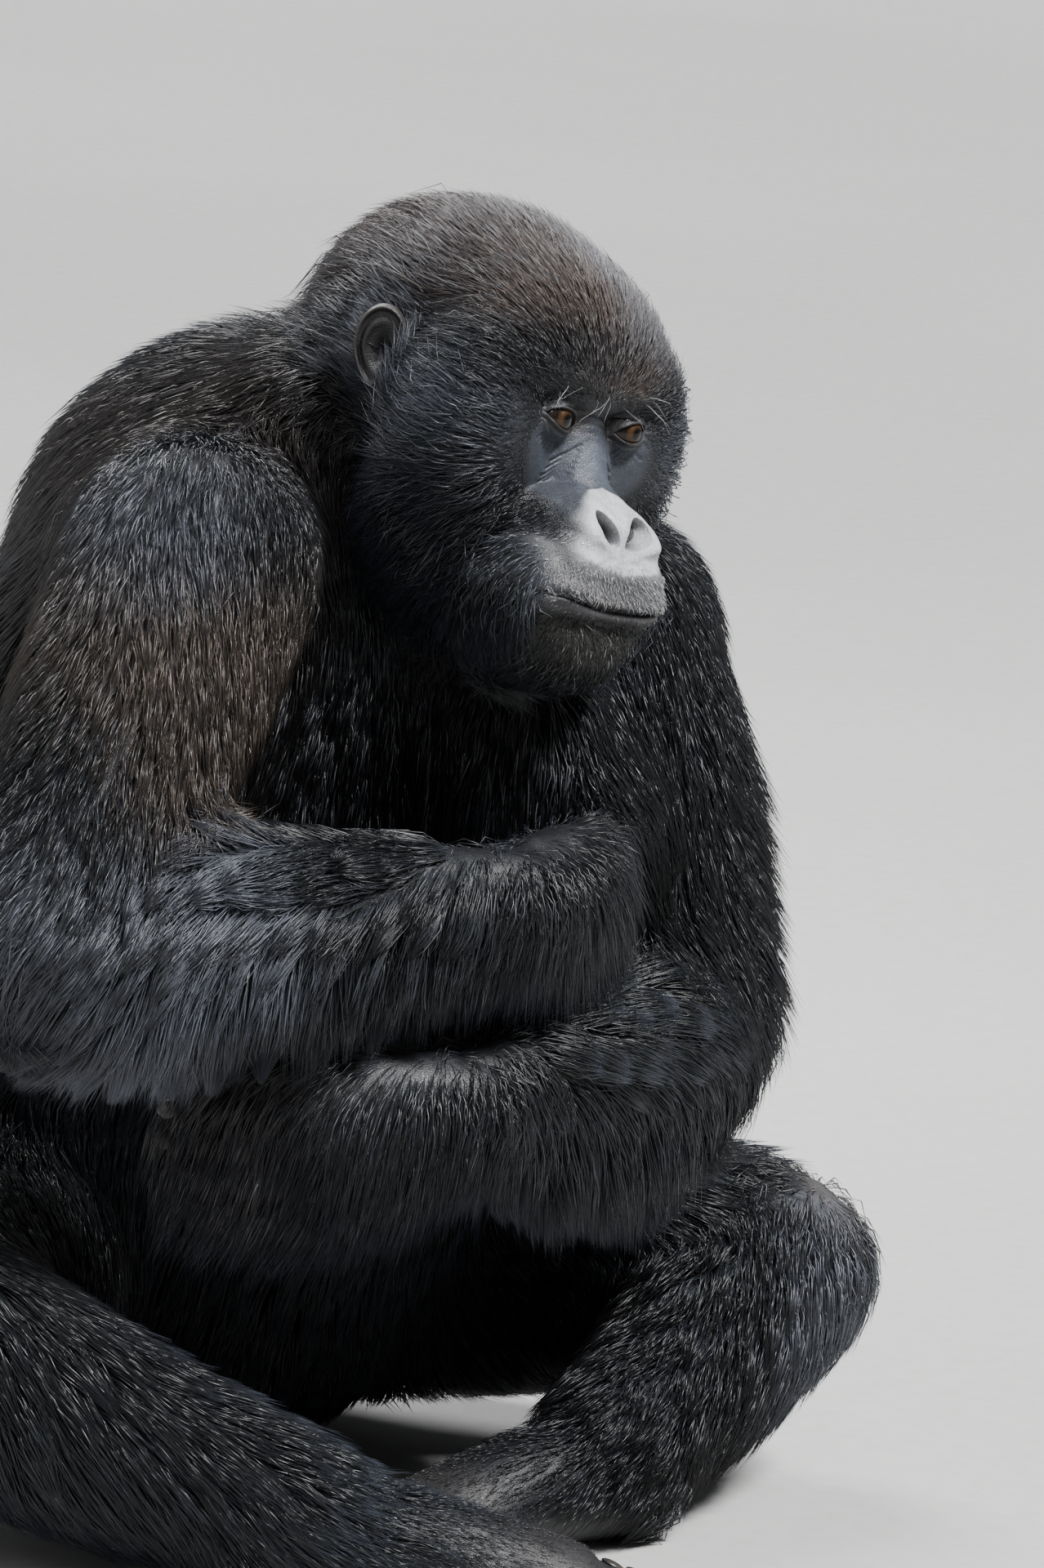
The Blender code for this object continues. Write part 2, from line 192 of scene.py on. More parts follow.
def frameAt(center, along, up, wide, high, deep):
    across = along.cross(up).normalized()
    upright = across.cross(along).normalized()
    matrix = Matrix((across * wide, upright * high, along * deep)).transposed().to_4x4()
    matrix.translation = center
    return matrix


ballDetail = (20, 12)


def addBall(mesh, matrix, detail=ballDetail):
    across, up = detail
    return bmesh.ops.create_uvsphere(mesh, u_segments=across, v_segments=up, radius=1, matrix=matrix)["verts"]


def sweep(mesh, stations, up=Vector((0, 0, 1))):  # (center, half width, half height) in a row
    centers = [station[0] for station in stations]
    loops = []
    for index, (center, wide, high) in enumerate(stations):
        along = (centers[min(index + 1, len(centers) - 1)] - centers[max(index - 1, 0)]).normalized()
        ring = bmesh.ops.create_circle(
            mesh, segments=ballDetail[0], radius=1, matrix=frameAt(center, along, up, wide, high, 1))
        edges = dict.fromkeys(edge for vertex in ring["verts"] for edge in vertex.link_edges)
        loops.append(list(edges))
        if index in (0, len(stations) - 1):
            addBall(mesh, frameAt(center, along, up, wide, high, min(wide, high)))
    for first, second in zip(loops, loops[1:]):
        bmesh.ops.bridge_loops(mesh, edges=first + second)


limbSections = (  # each limb's ends, then its sections: share along it, half width and height, and sag
    (("shoulder", "elbow"), (
        (0, ("shoulder", 1, 1), 0), (0.4, ("upperArm", 1, 1), 0),
        (0.75, ("upperArm", 0.88, 0.88), 0), (1, ("elbow", 1, 1), 0))),
    (("elbow", "wrist"), (
        (0, ("elbow", 1, 1), 0), (0.3, ("elbow", 1.0, 1.05), 0),
        (0.7, ("wrist", 1.25, 1.3), 0), (1, ("wrist", 1, 0.95), 0))),
    (("hip", "knee"), (
        (0, ("hip", 1, 1), 0), (0.45, ("thigh", 1, 1), 0),
        (0.85, ("knee", 1.05, 1.08), 0), (1, ("knee", 1, 1), 0))),
    (("knee", "ankle"), (
        (0, ("knee", 1, 1), 0), (0.3, ("shin", 1.12, 1.3), 0.010),
        (0.65, ("shin", 0.92, 1), 0.010), (1, ("ankle", 1, 1), 0))),
)


def limbRows(word):
    rows = []
    for (first, last), sections in limbSections:
        start, end = pose[word][first], pose[word][last]
        rows.append([
            (start.lerp(end, along) - Vector((0, 0, drop)), skinSizes[size] * wide, skinSizes[size] * high)
            for along, (size, wide, high), drop in sections])
    return rows


def handRows(joint):
    wrist, knuckle, tip = joint["wrist"], joint["knuckle"], joint["fingertip"]
    rows = [[(wrist, 0.031, 0.024), (wrist.lerp(knuckle, 0.6), 0.027, 0.040), (knuckle, 0.022, 0.041)]]
    for finger in range(4):
        drop = Vector((0, 0, 0.033 - 0.0220 * finger))
        bend = knuckle.lerp(tip, 0.5) + (knuckle - wrist) * 0.06 + drop
        end = tip + drop * 0.85 - (tip - knuckle) * (0.10 if finger in (0, 3) else 0)
        rows.append([
            (knuckle + drop, 0.0128, 0.0122), ((knuckle + drop).lerp(bend, 0.55), 0.0108, 0.0102),
            (bend, 0.0118, 0.0112), (bend.lerp(end, 0.6), 0.0098, 0.0092), (end, 0.0092, 0.0086)])
    thumb = wrist.lerp(knuckle, 0.25) + Vector((0, 0, 0.020))
    thumbTip = thumb.lerp(knuckle + Vector((0, 0, 0.028)), 0.9)
    rows.append([(thumb, 0.0125, 0.0125), (thumbTip, 0.0096, 0.0096)])
    return rows


def footRows(joint):
    ankle, ball, toe = joint["ankle"], joint["ball"], joint["toe"]
    forward = Vector(((ball - ankle).x, (ball - ankle).y, 0)).normalized()
    inner = Vector((-forward.y, forward.x, 0)) * (1 if forward.x < 0 else -1)

    def low(spot, height):
        return Vector((spot.x, spot.y, height))

    rows = [[
        (low(ankle, 0.030) - forward * 0.034, 0.027, 0.029), (low(ankle, 0.042), 0.032, 0.040),
        (low(ankle.lerp(ball, 0.5), 0.034), 0.034, 0.033), (low(ball, 0.023), 0.038, 0.0225)]]
    for index in range(4):
        side = inner * (0.022 - 0.0185 * index)
        back = forward * (0.010 * index)
        start = low(ball, 0.020) + side - back * 0.4
        end = low(toe, 0.0135) + side - back
        rows.append([(start, 0.0115, 0.0155), (start.lerp(end, 0.55), 0.0094, 0.0132), (end, 0.0098, 0.0118)])
    root = low(ankle.lerp(ball, 0.62), 0.026)
    rows.append([
        (root + inner * 0.018, 0.017, 0.019),
        (root + inner * 0.046 + forward * 0.030 - Vector((0, 0, 0.006)), 0.0140, 0.0150),
        (root + inner * 0.058 + forward * 0.056 - Vector((0, 0, 0.0105)), 0.0118, 0.0122)])
    return rows


def trunkRows():
    rows = [[(at(0, y, z), wide, deep) for z, y, wide, deep in trunkLevels]]
    for side in (-1, 1):
        lift = 0.018 if side < 0 else -0.018
        rows.append([
            (at(side * 0.060, 0.010, 0.570 + lift * 0.4), 0.060, 0.055),
            (at(side * 0.115, -0.055, 0.545 + lift), 0.066, 0.066)])
        rows.append([
            (at(side * 0.095, 0.115, 0.090), 0.082, 0.068),
            (at(side * 0.100, 0.060, 0.105), 0.096, 0.090)])
    return rows


def melted(name, rows, extra=None):  # runs sections together into one smooth skin
    mesh = bmesh.new()
    for row in rows:
        sweep(mesh, row)
    if extra:
        extra(mesh)
    bmesh.ops.recalc_face_normals(mesh, faces=mesh.faces)
    piece = newPiece(name, mesh)
    remesh = piece.modifiers.new("melt", "REMESH")
    remesh.mode = "VOXEL"
    remesh.voxel_size = melting[name]
    smooth = piece.modifiers.new("soften", "SMOOTH")
    smooth.iterations = melting["rounds"]
    return applied(piece)


# the head: rounded forms run together, then the face worked into them

skull = {
    "forms": (  # middle and half sizes, in the head's own frame; those off the middle are mirrored
        ((0, 0.005, 0.043), (0.076, 0.089, 0.080)),  # crown
        ((0, -0.045, 0.052), (0.073, 0.066, 0.050)),  # forehead
        ((0, -0.068, 0.036), (0.074, 0.042, 0.022)),  # brow bar
        ((0, -0.060, -0.012), (0.062, 0.042, 0.058)),  # middle of the face
        ((0, -0.088, -0.077), (0.054, 0.060, 0.041)),  # muzzle
        ((0.029, -0.099, -0.083), (0.034, 0.047, 0.033)),  # its corners
        ((0.032, -0.074, -0.045), (0.017, 0.035, 0.017)),  # beside the nose
        ((0, -0.114, -0.047), (0.030, 0.027, 0.021)),  # nose
        ((0.021, -0.106, -0.057), (0.016, 0.034, 0.018)),  # its wings
        ((0, -0.076, -0.008), (0.018, 0.032, 0.030)),  # nose bridge
        ((0, -0.090, -0.109), (0.044, 0.044, 0.032)),  # chin
        ((0.018, -0.092, -0.108), (0.030, 0.040, 0.027)),  # its corners
        ((0, -0.020, -0.066), (0.056, 0.066, 0.062)),  # jaw
        ((0.061, -0.060, 0.004), (0.041, 0.043, 0.059)),  # temple
        ((0.046, -0.042, -0.046), (0.036, 0.047, 0.052)),  # cheek
    ),
    "sharpness": 125, "ahead": -0.60, "walk": 16, "near": 0.012, "touch": 0.001, "size": 0.20,
}


def reachOf(directions, center, half):  # how far out each direction leaves a rounded form
    scaled = directions / np.array(half)
    start = -np.array(center) / np.array(half)
    a = (scaled * scaled).sum(axis=1)
    b = scaled @ start
    inside = b * b - a * (start @ start - 1)
    return np.where(inside > 0, (-b + np.sqrt(np.maximum(inside, 0))) / a, 0)


muzzleShape = {  # how far forward the nose and lip reach: a row each 8 mm down, a column each 8 mm out
    "top": 20, "step": 8,
    "rows": (
        (101, 99.5, 96.5, 95, 94, 94, 94),
        (104, 102, 98, 95.5, 94.5, 94.5, 94.5),
        (107, 105, 100.5, 97, 96, 96.3, 97),
        (110, 108, 103, 98.5, 97, 97, 97.4),
        (113, 111, 105.5, 100, 97.5, 97, 97.3),
        (116, 114.5, 109, 102, 98, 96.5, 96.6),
        (121, 121, 119, 112, 102, 96.5, 95.5),
        (130, 131, 132, 131, 121, 106, 97),
        (138, 139, 140.5, 141, 135, 118, 101),
        (141, 142, 143.5, 144.5, 142, 129, 109),
        (142.5, 143.5, 144.5, 145, 143, 135, 119),
        (145.5, 146.5, 147.5, 148, 147, 142.5, 131),
        (148, 149, 150, 150.5, 149.5, 146, 138),
    ),
}


def muzzleReach(x, z):  # the shape between its rows and columns, without kinks
    rows = np.array(muzzleShape["rows"], float)
    last = np.array(rows.shape) - 1
    down = np.clip((muzzleShape["top"] - z) / muzzleShape["step"], 0, last[0] - 1e-6)
    out = np.clip(x / muzzleShape["step"], 0, last[1] - 1e-6)
    row, column = np.floor(down).astype(int), np.floor(out).astype(int)

    def weights(t):
        return (-t + 2 * t ** 2 - t ** 3) / 2, (2 - 5 * t ** 2 + 3 * t ** 3) / 2, \
            (t + 4 * t ** 2 - 3 * t ** 3) / 2, (t ** 3 - t ** 2) / 2

    total = np.zeros(len(x))
    for downStep, downWeight in enumerate(weights(down - row)):
        for outStep, outWeight in enumerate(weights(out - column)):
            rowHere = np.clip(row - 1 + downStep, 0, last[0])
            columnHere = np.minimum(np.abs(column - 1 + outStep), last[1])
            total += downWeight * outWeight * rows[rowHere, columnHere]
    return total


def skullReach(directions):  # how far out the head's plain surface is
    reaches = []
    for (x, y, z), half in skull["forms"]:
        for side in ((1, -1) if x else (1,)):
            reaches.append(reachOf(directions, (x * side, y, z), half))
    reaches = np.array(reaches)
    top = reaches.max(axis=0)
    sharpness = skull["sharpness"]
    reach = top + np.log(np.exp(sharpness * (reaches - top)).sum(axis=0)) / sharpness
    ahead = directions[:, 1] < skull["ahead"]
    way, plain = directions[ahead], reach[ahead]
    now = plain.copy()
    for _ in range(skull["walk"]):  # steps along each direction to the muzzle's surface
        x, z = np.abs(way[:, 0]) * now * 1000, way[:, 2] * now * 1000
        edge = mix(15, 41, ease(-z, 22, 36))
        shaped = fade(x, edge, edge + 8) * ease(z, -77, -66) * fade(z, 8, 20)
        now += 0.5 * (mix(plain, muzzleReach(x, z) / 1000 / -way[:, 1], shaped) - now)
    reach[ahead] = now
    return reach


def offSkull(local):  # how far outside the head's plain surface
    return np.linalg.norm(local, axis=1) - skullReach(unit(local))


def toHead(points):
    return (points - headSpot) @ headAxes


def fromHead(points):
    return points @ headAxes.T + headSpot


def hill(x, z, place, half):
    return band(x - place[0], half[0]) * band(z - place[1], half[1])


def crease(x, z, line, width):  # 1 on a bent line, falling away over width
    nearest = np.full(len(x), 1e9)
    for (x0, z0), (x1, z1) in zip(line, line[1:]):
        runX, runZ = x1 - x0, z1 - z0
        share = np.clip(((x - x0) * runX + (z - z0) * runZ) / (runX ** 2 + runZ ** 2), 0, 1)
        nearest = np.minimum(nearest, (x - x0 - share * runX) ** 2 + (z - z0 - share * runZ) ** 2)
    return np.exp(-nearest / width ** 2)


face = {  # millimetres across and up from between the ears, and depths
    "eye": (32, 12), "ball": 13.5, "lid": 1.6,
    "opening": 12.4, "upper": 5.7, "lower": 5.8, "slant": 1.9,
    "nostril": (13.0, -47.2), "nostrilHalf": (12.5, 6.8), "nostrilLean": (0.76, 0.65),
    "mouth": ((0, -92.6), (14, -92.2), (28, -90.8), (42, -88.4), (50, -88.6), (55, -91.5)),
    "fold": ((27, -28), (37, -44), (43, -60), (48, -78)),
    "arcs": (  # folds across the nose: height, depth, bend, middle, width, and where they fade
        (18, 0.9, 0.020, 2, 1.3, 13), (12.5, 1.1, 0.020, 2, 1.3, 13), (7.5, 0.8, 0.020, 2, 1.3, 13),
        (2.5, 0.6, 0.020, 2, 1.3, 13), (-20, 0.5, 0.012, 0, 1.6, 16), (-25, 0.7, 0.012, 0, 1.6, 16),
    ),
    "soft": 0.55, "socket": 3.5,
}


def nostrilPlace(x, z, swell=0):  # along and across the slanted nostril, as shares of its half sizes
    leanX, leanZ = face["nostrilLean"]
    offX, offZ = x - face["nostril"][0], z - face["nostril"][1]
    along = (offX * leanX + offZ * leanZ) / face["nostrilHalf"][0]
    return along, (offX * leanZ - offZ * leanX) / (face["nostrilHalf"][1] * (1 + swell * along))


def lidEdges(across):  # the eye's opening: height of its upper and lower edge above the eye's middle
    bow = np.maximum(1 - (across / face["opening"]) ** 2, 0)
    lean = face["slant"] * across / face["opening"]
    return face["upper"] * bow ** 0.62 + lean, -face["lower"] * bow ** 0.8 + lean


def faceDetail(local, normals):  # works folds, lids, nose and lips into points on the plain head
    x = np.abs(local[:, 0]) * 1000
    z = local[:, 2] * 1000
    y = -local[:, 1] * 1000  # forward
    front = ease(y, 40, 70)
    out = 3.2 * hill(x, z, (26, 35), (22, 8)) + 1.5 * hill(x, z, (0, 33), (10, 8))
    out -= 1.6 * hill(x, z, (0, 46), (7, 12))
    plain = y + out * front
    sunk = 104.5 - 0.10 * (x - 32)
    plain = mix(plain, np.minimum(plain, sunk), 0.95 * hill(x, z, (32, 10), (17, 13)))
    # the bridge of the nose and the folds across it
    plain -= band(x - 19 + 0.10 * z, 3.5) * ease(z, -34, -24) * fade(z, -4, 6)
    for height, depth, bend, middle, width, end in face["arcs"]:
        arc = height - bend * (x - middle) ** 2
        plain -= depth * band(z - arc, width) * fade(x, 7, end)
    # lids over the eyeball
    across, up = x - face["eye"][0], z - face["eye"][1]
    farSquared = across ** 2 + up ** 2
    eyeFront = -1000 * head["eye"][1]
    ballFront = eyeFront + np.sqrt(np.maximum(face["ball"] ** 2 - farSquared, 0))
    cover = (face["ball"] + face["lid"]) ** 2 - farSquared
    lid = np.where(cover > 0, eyeFront + np.sqrt(np.maximum(cover, 0)), 0)
    plain = np.logaddexp(plain * face["soft"], lid * face["soft"]) / face["soft"]
    upper, lower = lidEdges(across)
    aside = np.abs(across)
    for depth, height, width, ends in (
            (-0.8, up - upper - 4.2, 1.1, (13, 19)), (0.8, up - upper - 1.5, 1.3, (9, 14)),
            (-0.9, up - lower + 3.4, 0.9, (13, 19)), (0.7, up - lower + 1.3, 1.0, (9, 12)),
            (-0.8, up - lower + 7.2 - 0.02 * across ** 2, 1.0, (9, 17))):
        plain += depth * band(height, width) * fade(aside, *ends)
    parted = ease(np.minimum(upper - up, up - lower), -0.45, 0.55) * (aside < face["opening"] + 0.5)
    plain = mix(plain, ballFront - face["socket"], parted)
    # wrinkles below and beside the eye
    for step in range(6):
        start = (11 + 1.4 * step, -1 - 3.6 * step)
        middle = (19 + 1.6 * step, -8 - 4.1 * step)
        end = (27 + 1.5 * step, -13.5 - 4.7 * step)
        plain -= (1.7 - 0.10 * step) * crease(x, z, (start, middle, end), 1.05)
        start = (25 + 3.2 * step, 1 - 0.4 * step + 0.10 * step ** 2)
        plain -= 0.9 * crease(x, z, (start, (start[0] + 2.2 + step, start[1] - 9 + step)), 0.9)
    for lift in (-5, -1, 3, 7):
        plain -= 0.6 * crease(x, z, ((46, 12 + lift * 0.7), (53, 12 + lift * 1.7)), 0.9)
    # nose pad: a raised wing round each nostril
    offX, offZ = x - face["nostril"][0], z - face["nostril"][1]
    hole = np.hypot(*nostrilPlace(x, z, 0.28))
    outerSide = ease(offX * 0.7 + offZ * 0.7, -10, 6)
    plain += (0.6 + 2.0 * outerSide) * band(hole - 1.65, 0.5)
    plain -= 1.1 * band(x, 2.6) * ease(z, -50, -42) * fade(z, -32, -24)
    plain -= band(x, 2.4) * ease(z, -86, -78) * fade(z, -64, -58)
    plain -= 12.0 * ease(-hole, -1.10, -0.78)
    plain -= 0.9 * band(z + 63 + 0.010 * x ** 2, 2.2) * fade(x, 20, 34) * ease(x, 4, 10)
    # lips
    line = np.interp(x, *zip(*face["mouth"]))
    lips = 1.8 * band(z - line - 5.0, 4.0) + 1.5 * band(z - line + 4.2, 2.8)
    lips -= 1.5 * ease(line - z, 0, 3) * ease(z, -125, -100) + 2.2 * band(z - line + 12.5, 4.5)
    plain += lips * fade(x, 44, 56)
    plain -= 4.6 * crease(x, z, face["mouth"], 1.5) + 0.8 * crease(x, z, face["fold"], 4.0)
    for step in range(9):  # fine lines across the lower lip and chin
        plain -= 0.35 * crease(x, z, ((3 + 4.6 * step, -94.5), (4 + 4.9 * step, -101)), 0.55)
    plain += 0.22 * ripple(local, 520, 3) + 0.35 * ripple(local, 210, 4)
    facing = ease(-normals[:, 1], 0.30, 0.60)[:, None]
    way = mix(normals * np.clip(-normals[:, 1:2], 0.1, 1), np.array((0, -1, 0)), facing)
    return local + way * ((plain - y) * front / 1000)[:, None]


def onSkull(points):  # moves points near the head onto it
    local = toHead(points)
    far = np.linalg.norm(local, axis=1)
    directions = unit(local)
    reach = skullReach(directions)
    slack = np.where(local[:, 1] < -0.055, 0.018, 0)
    hold = fade(np.abs(far - reach) - slack, 0.006, 0.015)
    return fromHead(mix(local, directions * reach[:, None], hold[:, None]))


def workFace(data):
    points = pointsOf(data)
    local = toHead(points)
    near = np.abs(offSkull(local)) < skull["touch"]
    normals = normalsOf(data) @ headAxes
    points[near] = fromHead(faceDetail(local[near], normals[near]))
    setPoints(data, points)


def addSkull(mesh):
    ball = bmesh.ops.create_icosphere(mesh, subdivisions=5, radius=1)["verts"]
    directions = np.array([vertex.co for vertex in ball])
    spots = fromHead(directions * skullReach(unit(directions))[:, None])
    for vertex, spot in zip(ball, spots):
        vertex.co = spot


def finer(mesh, wanted):  # splits the faces that wanted picks
    centers = np.array([face.calc_center_median() for face in mesh.faces])
    local = toHead(centers)
    x, y, z = local.T * 1000
    picked = (np.abs(offSkull(local)) < skull["near"]) & wanted(np.abs(x), y, z)
    mesh.faces.ensure_lookup_table()
    edges = dict.fromkeys(edge for index in np.flatnonzero(picked) for edge in mesh.faces[index].edges)
    bmesh.ops.subdivide_edges(mesh, edges=list(edges), cuts=1, use_grid_fill=True)
    spots = onSkull(np.array([vertex.co for vertex in mesh.verts]))
    for vertex, spot in zip(mesh.verts, spots):
        vertex.co = spot


ear = {
    "place": (0.094, -0.009, 0.033), "turn": (0, 8, -34), "height": 0.051, "width": 0.032,
    "thick": 0.0026, "plug": 0.020, "detail": (60, 44), "reach": (16, 25, 33),
    "order": (3.1, 1.7, 1.0),
    "rim": 3.4, "groove": 1.2, "fold": 2.4, "bowl": 6.5, "flap": 3.2,  # millimetres
}


def makeEar(side):
    mesh = bmesh.new()
    for vertex in addBall(mesh, Matrix(), ear["detail"]):
        back, up, out = vertex.co
        far = min(math.hypot(back, up), 1)
        angle = math.degrees(math.atan2(up, back))  # 0 behind, 90 above, 180 in front

        def bump(middleBack, middleUp, width):
            return math.exp(-((back - middleBack) ** 2 + (up - middleUp) ** 2) / width ** 2)

        rolled = 1 - 0.75 * bump(-0.55, -0.85, 0.6)
        height = 2.0 + ear["rim"] * band(far - 0.93, 0.055) * rolled
        height -= ear["groove"] * band(far - 0.78, 0.07) * (1 - bump(-0.8, -0.2, 0.6))
        height += ear["fold"] * band(far - 0.58, 0.09) * band(angle - 20, 75)
        height -= ear["bowl"] * bump(-0.16, -0.10, 0.40) + 2.5 * bump(-0.34, -0.16, 0.16)
        height += ear["flap"] * bump(-0.80, -0.22, 0.17) + 1.4 * bump(0.05, -0.80, 0.22)
        height += 1.8 * bump(-0.45, 0.12, 0.14)
        if out > 0:
            stand = height / 1000 * (1 - far ** 12) ** 0.5
        else:
            stand = -(ear["thick"] + ear["plug"] * band(back + 0.38, 0.42)) * math.sqrt(1 - far ** 2)
        narrow = 1 - 0.24 * abs(min(up, 0)) + 0.05 * up
        vertex.co = (stand, back * ear["width"] / 2 * narrow, up * ear["height"] / 2)
    bmesh.ops.smooth_vert(
        mesh, verts=mesh.verts, factor=0.3, use_axis_x=True, use_axis_y=True, use_axis_z=True)
    turn = Euler([math.radians(angle) for angle in ear["turn"]]).to_matrix().to_4x4()
    mirror = Matrix.Diagonal((side, 1, 1, 1))
    seat = headSeat @ mirror @ Matrix.Translation(ear["place"]) @ turn
    bmesh.ops.transform(mesh, matrix=seat, verts=mesh.verts)
    bmesh.ops.recalc_face_normals(mesh, faces=mesh.faces)
    mesh.faces.sort(key=lambda face: face.calc_center_median().dot(ear["order"]))  # the same in each run
    return newPiece("ear", mesh)


slopes = (  # middle, half width and half height of each section
    ((0.000, -0.010, 0.550, 0.086, 0.062), (0.008, -0.022, 0.590, 0.088, 0.070),
     (0.020, -0.072, 0.630, 0.074, 0.062)),  # neck
    ((0.045, -0.075, 0.520, 0.076, 0.070), (0.075, -0.150, 0.462, 0.072, 0.066),
     (0.095, -0.182, 0.415, 0.054, 0.050)),  # breast beside the left arm
    ((-0.020, -0.065, 0.650, 0.050, 0.050), (-0.072, -0.050, 0.606, 0.056, 0.052),
     (-0.118, -0.075, 0.580, 0.062, 0.060)),  # from the back of the head to the right shoulder
    ((0.066, -0.075, 0.640, 0.046, 0.046), (0.098, -0.070, 0.585, 0.052, 0.048),
     (0.130, -0.090, 0.550, 0.060, 0.058)),  # and to the left one
)
melting = {"skin": 0.0132, "hands": 0.0044, "feet": 0.0046, "rounds": 4, "floorGap": 0.0012}


def makeSkin():
    rows = limbRows("left") + limbRows("right")
    rows += [[(at(x, y, z), wide, high) for x, y, z, wide, high in slope] for slope in slopes]
    body = bmesh.new()
    for row in trunkRows():
        sweep(body, row, Vector((0, 1, 0)))
    trunkShape = newPiece("trunkShape", body)

    def addRest(mesh):
        mesh.from_mesh(trunkShape.data)
        addSkull(mesh)

    skin = melted("skin", rows, addRest)
    bpy.data.objects.remove(trunkShape)
    mesh = bmesh.new()
    mesh.from_mesh(skin.data)
    for wanted in (  # the whole head, its front, the face, then eyes, nose and mouth twice
            lambda x, y, z: x < 500,
            lambda x, y, z: (y < -25) & (z < 70),
            lambda x, y, z: (y < -58) & (x < 58) & (z < 52) & (z > -112),
            lambda x, y, z: (y < -62) & (
                ((np.abs(x - 31) < 20) & (np.abs(z - 10) < 15)) | ((x < 38) & (z < 1) & (z > -66))
                | ((x < 52) & (np.abs(z + 92.5) < 7))),
            lambda x, y, z: (y < -62) & (
                ((np.abs(x - 32) < 13.5) & (np.abs(z - 12) < 8.5)) | (np.hypot(x - 13, z + 47) < 14)
                | ((x < 48) & (np.abs(z + 91.5) < 3)))):
        finer(mesh, wanted)
    bmesh.ops.triangulate(mesh, faces=[face for face in mesh.faces if len(face.verts) > 4])
    mesh.to_mesh(skin.data)
    mesh.free()
    workFace(skin.data)
    parts = [makeEar(side) for side in (-1, 1)]
    for name, rowsOf in (("hands", handRows), ("feet", footRows)):
        parts.append(melted(name, rowsOf(pose["left"]) + rowsOf(pose["right"])))
    for part in parts:
        part.select_set(True)
    skin.select_set(True)
    bpy.context.view_layer.objects.active = skin
    bpy.ops.object.join()
    skin.select_set(False)
    points = pointsOf(skin.data)
    points[:, 2] = np.maximum(points[:, 2], melting["floorGap"])  # flattened where it sits
    setPoints(skin.data, points)
    return skin


print("skin: melting the body and working the face")
skin = makeSkin()


# what grows where

zones = {  # each stretch of the body: its ends, and the flesh's half size at each
    "trunk": (at(0, 0.070, 0.080), at(0, -0.005, 0.490), 0.185, 0.170),
    "neck": (at(0, -0.010, 0.560), at(0.018, -0.066, 0.625), 0.075, 0.066),
    "shoulders": (at(0.090, 0.000, 0.535), at(-0.090, 0.000, 0.570), 0.075, 0.075),
}
limbs = {  # joint to joint, flesh half sizes, hair length, coat depth, and how far the hair hangs free
    "upperArm": ("shoulder", "elbow", 0.068, 0.052, 0.046, 0.018, 0.0),
    "forearm": ("wrist", "elbow", 0.032, 0.052, 0.075, 0.024, 0.92),
    "hand": ("wrist", "fingertip", 0.036, 0.030, 0.022, 0.007, 0.1),
    "thigh": ("hip", "knee", 0.106, 0.070, 0.055, 0.020, 0.05),
    "shin": ("knee", "ankle", 0.062, 0.038, 0.062, 0.022, 0.2),
    "foot": ("ankle", "toe", 0.040, 0.030, 0.016, 0.005, 0.0),
}


def gap(points, start, end, halfStart, halfEnd):  # how far outside a tapered limb, and how far along it
    start, end = np.array(start), np.array(end)
    along = np.clip(alongRun(points, start, end), 0, 1)
    middle = start + along[:, None] * (end - start)
    return away(points, middle) - mix(halfStart, halfEnd, along), along


def jointAt(word, name):
    return np.array(pose[word][name])


def kneeTop(word):  # where the hair of thigh and shin fans out from
    side = 1 if word == "left" else -1
    return jointAt(word, "knee") + np.array((0.018 * side, -0.018, 0.055))


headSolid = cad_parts["head"].data
headOutline = BVHTree.FromPolygons(
    [vertex.co.copy() for vertex in headSolid.vertices], [tuple(face.vertices) for face in headSolid.polygons])


headRoom = {"least": 0.012, "most": 0.036, "elsewhere": 0.018}


def roomAbove(points, normals):  # how much coat fits between the skin and the head's outline
    room = np.full(len(points), headRoom["least"])
    for index, (point, normal) in enumerate(zip(points, normals)):
        _, _, _, distance = headOutline.ray_cast(point, normal, headRoom["most"])
        if distance:
            room[index] = distance
    return np.clip(room, headRoom["least"], headRoom["most"])


def bareness(local):  # under 1 in the bare face's oval and on the nose pad, and how much is muzzle
    x, y, z = local.T * 1000
    side = np.abs(x)
    wide = 53 - 17 * ease(-z, 6, 40)
    oval = ((side / wide) ** 3 + np.abs((z + 22) / 46) ** 3) ** (1 / 3) + 0.9 * ease(y, -62, -25)
    padWidth = np.interp(-z, (21, 26, 33, 44, 54, 62, 70), (2, 14, 25, 36, 40, 38, 26))
    pad = side / padWidth + 3 * ease(-z, 66, 78) + 3 * ease(z, -26, -18)
    snout = ease(-y, 76, 98) * fade(side, 49, 60) * ease(-z, 46, 58)
    return oval, pad, snout


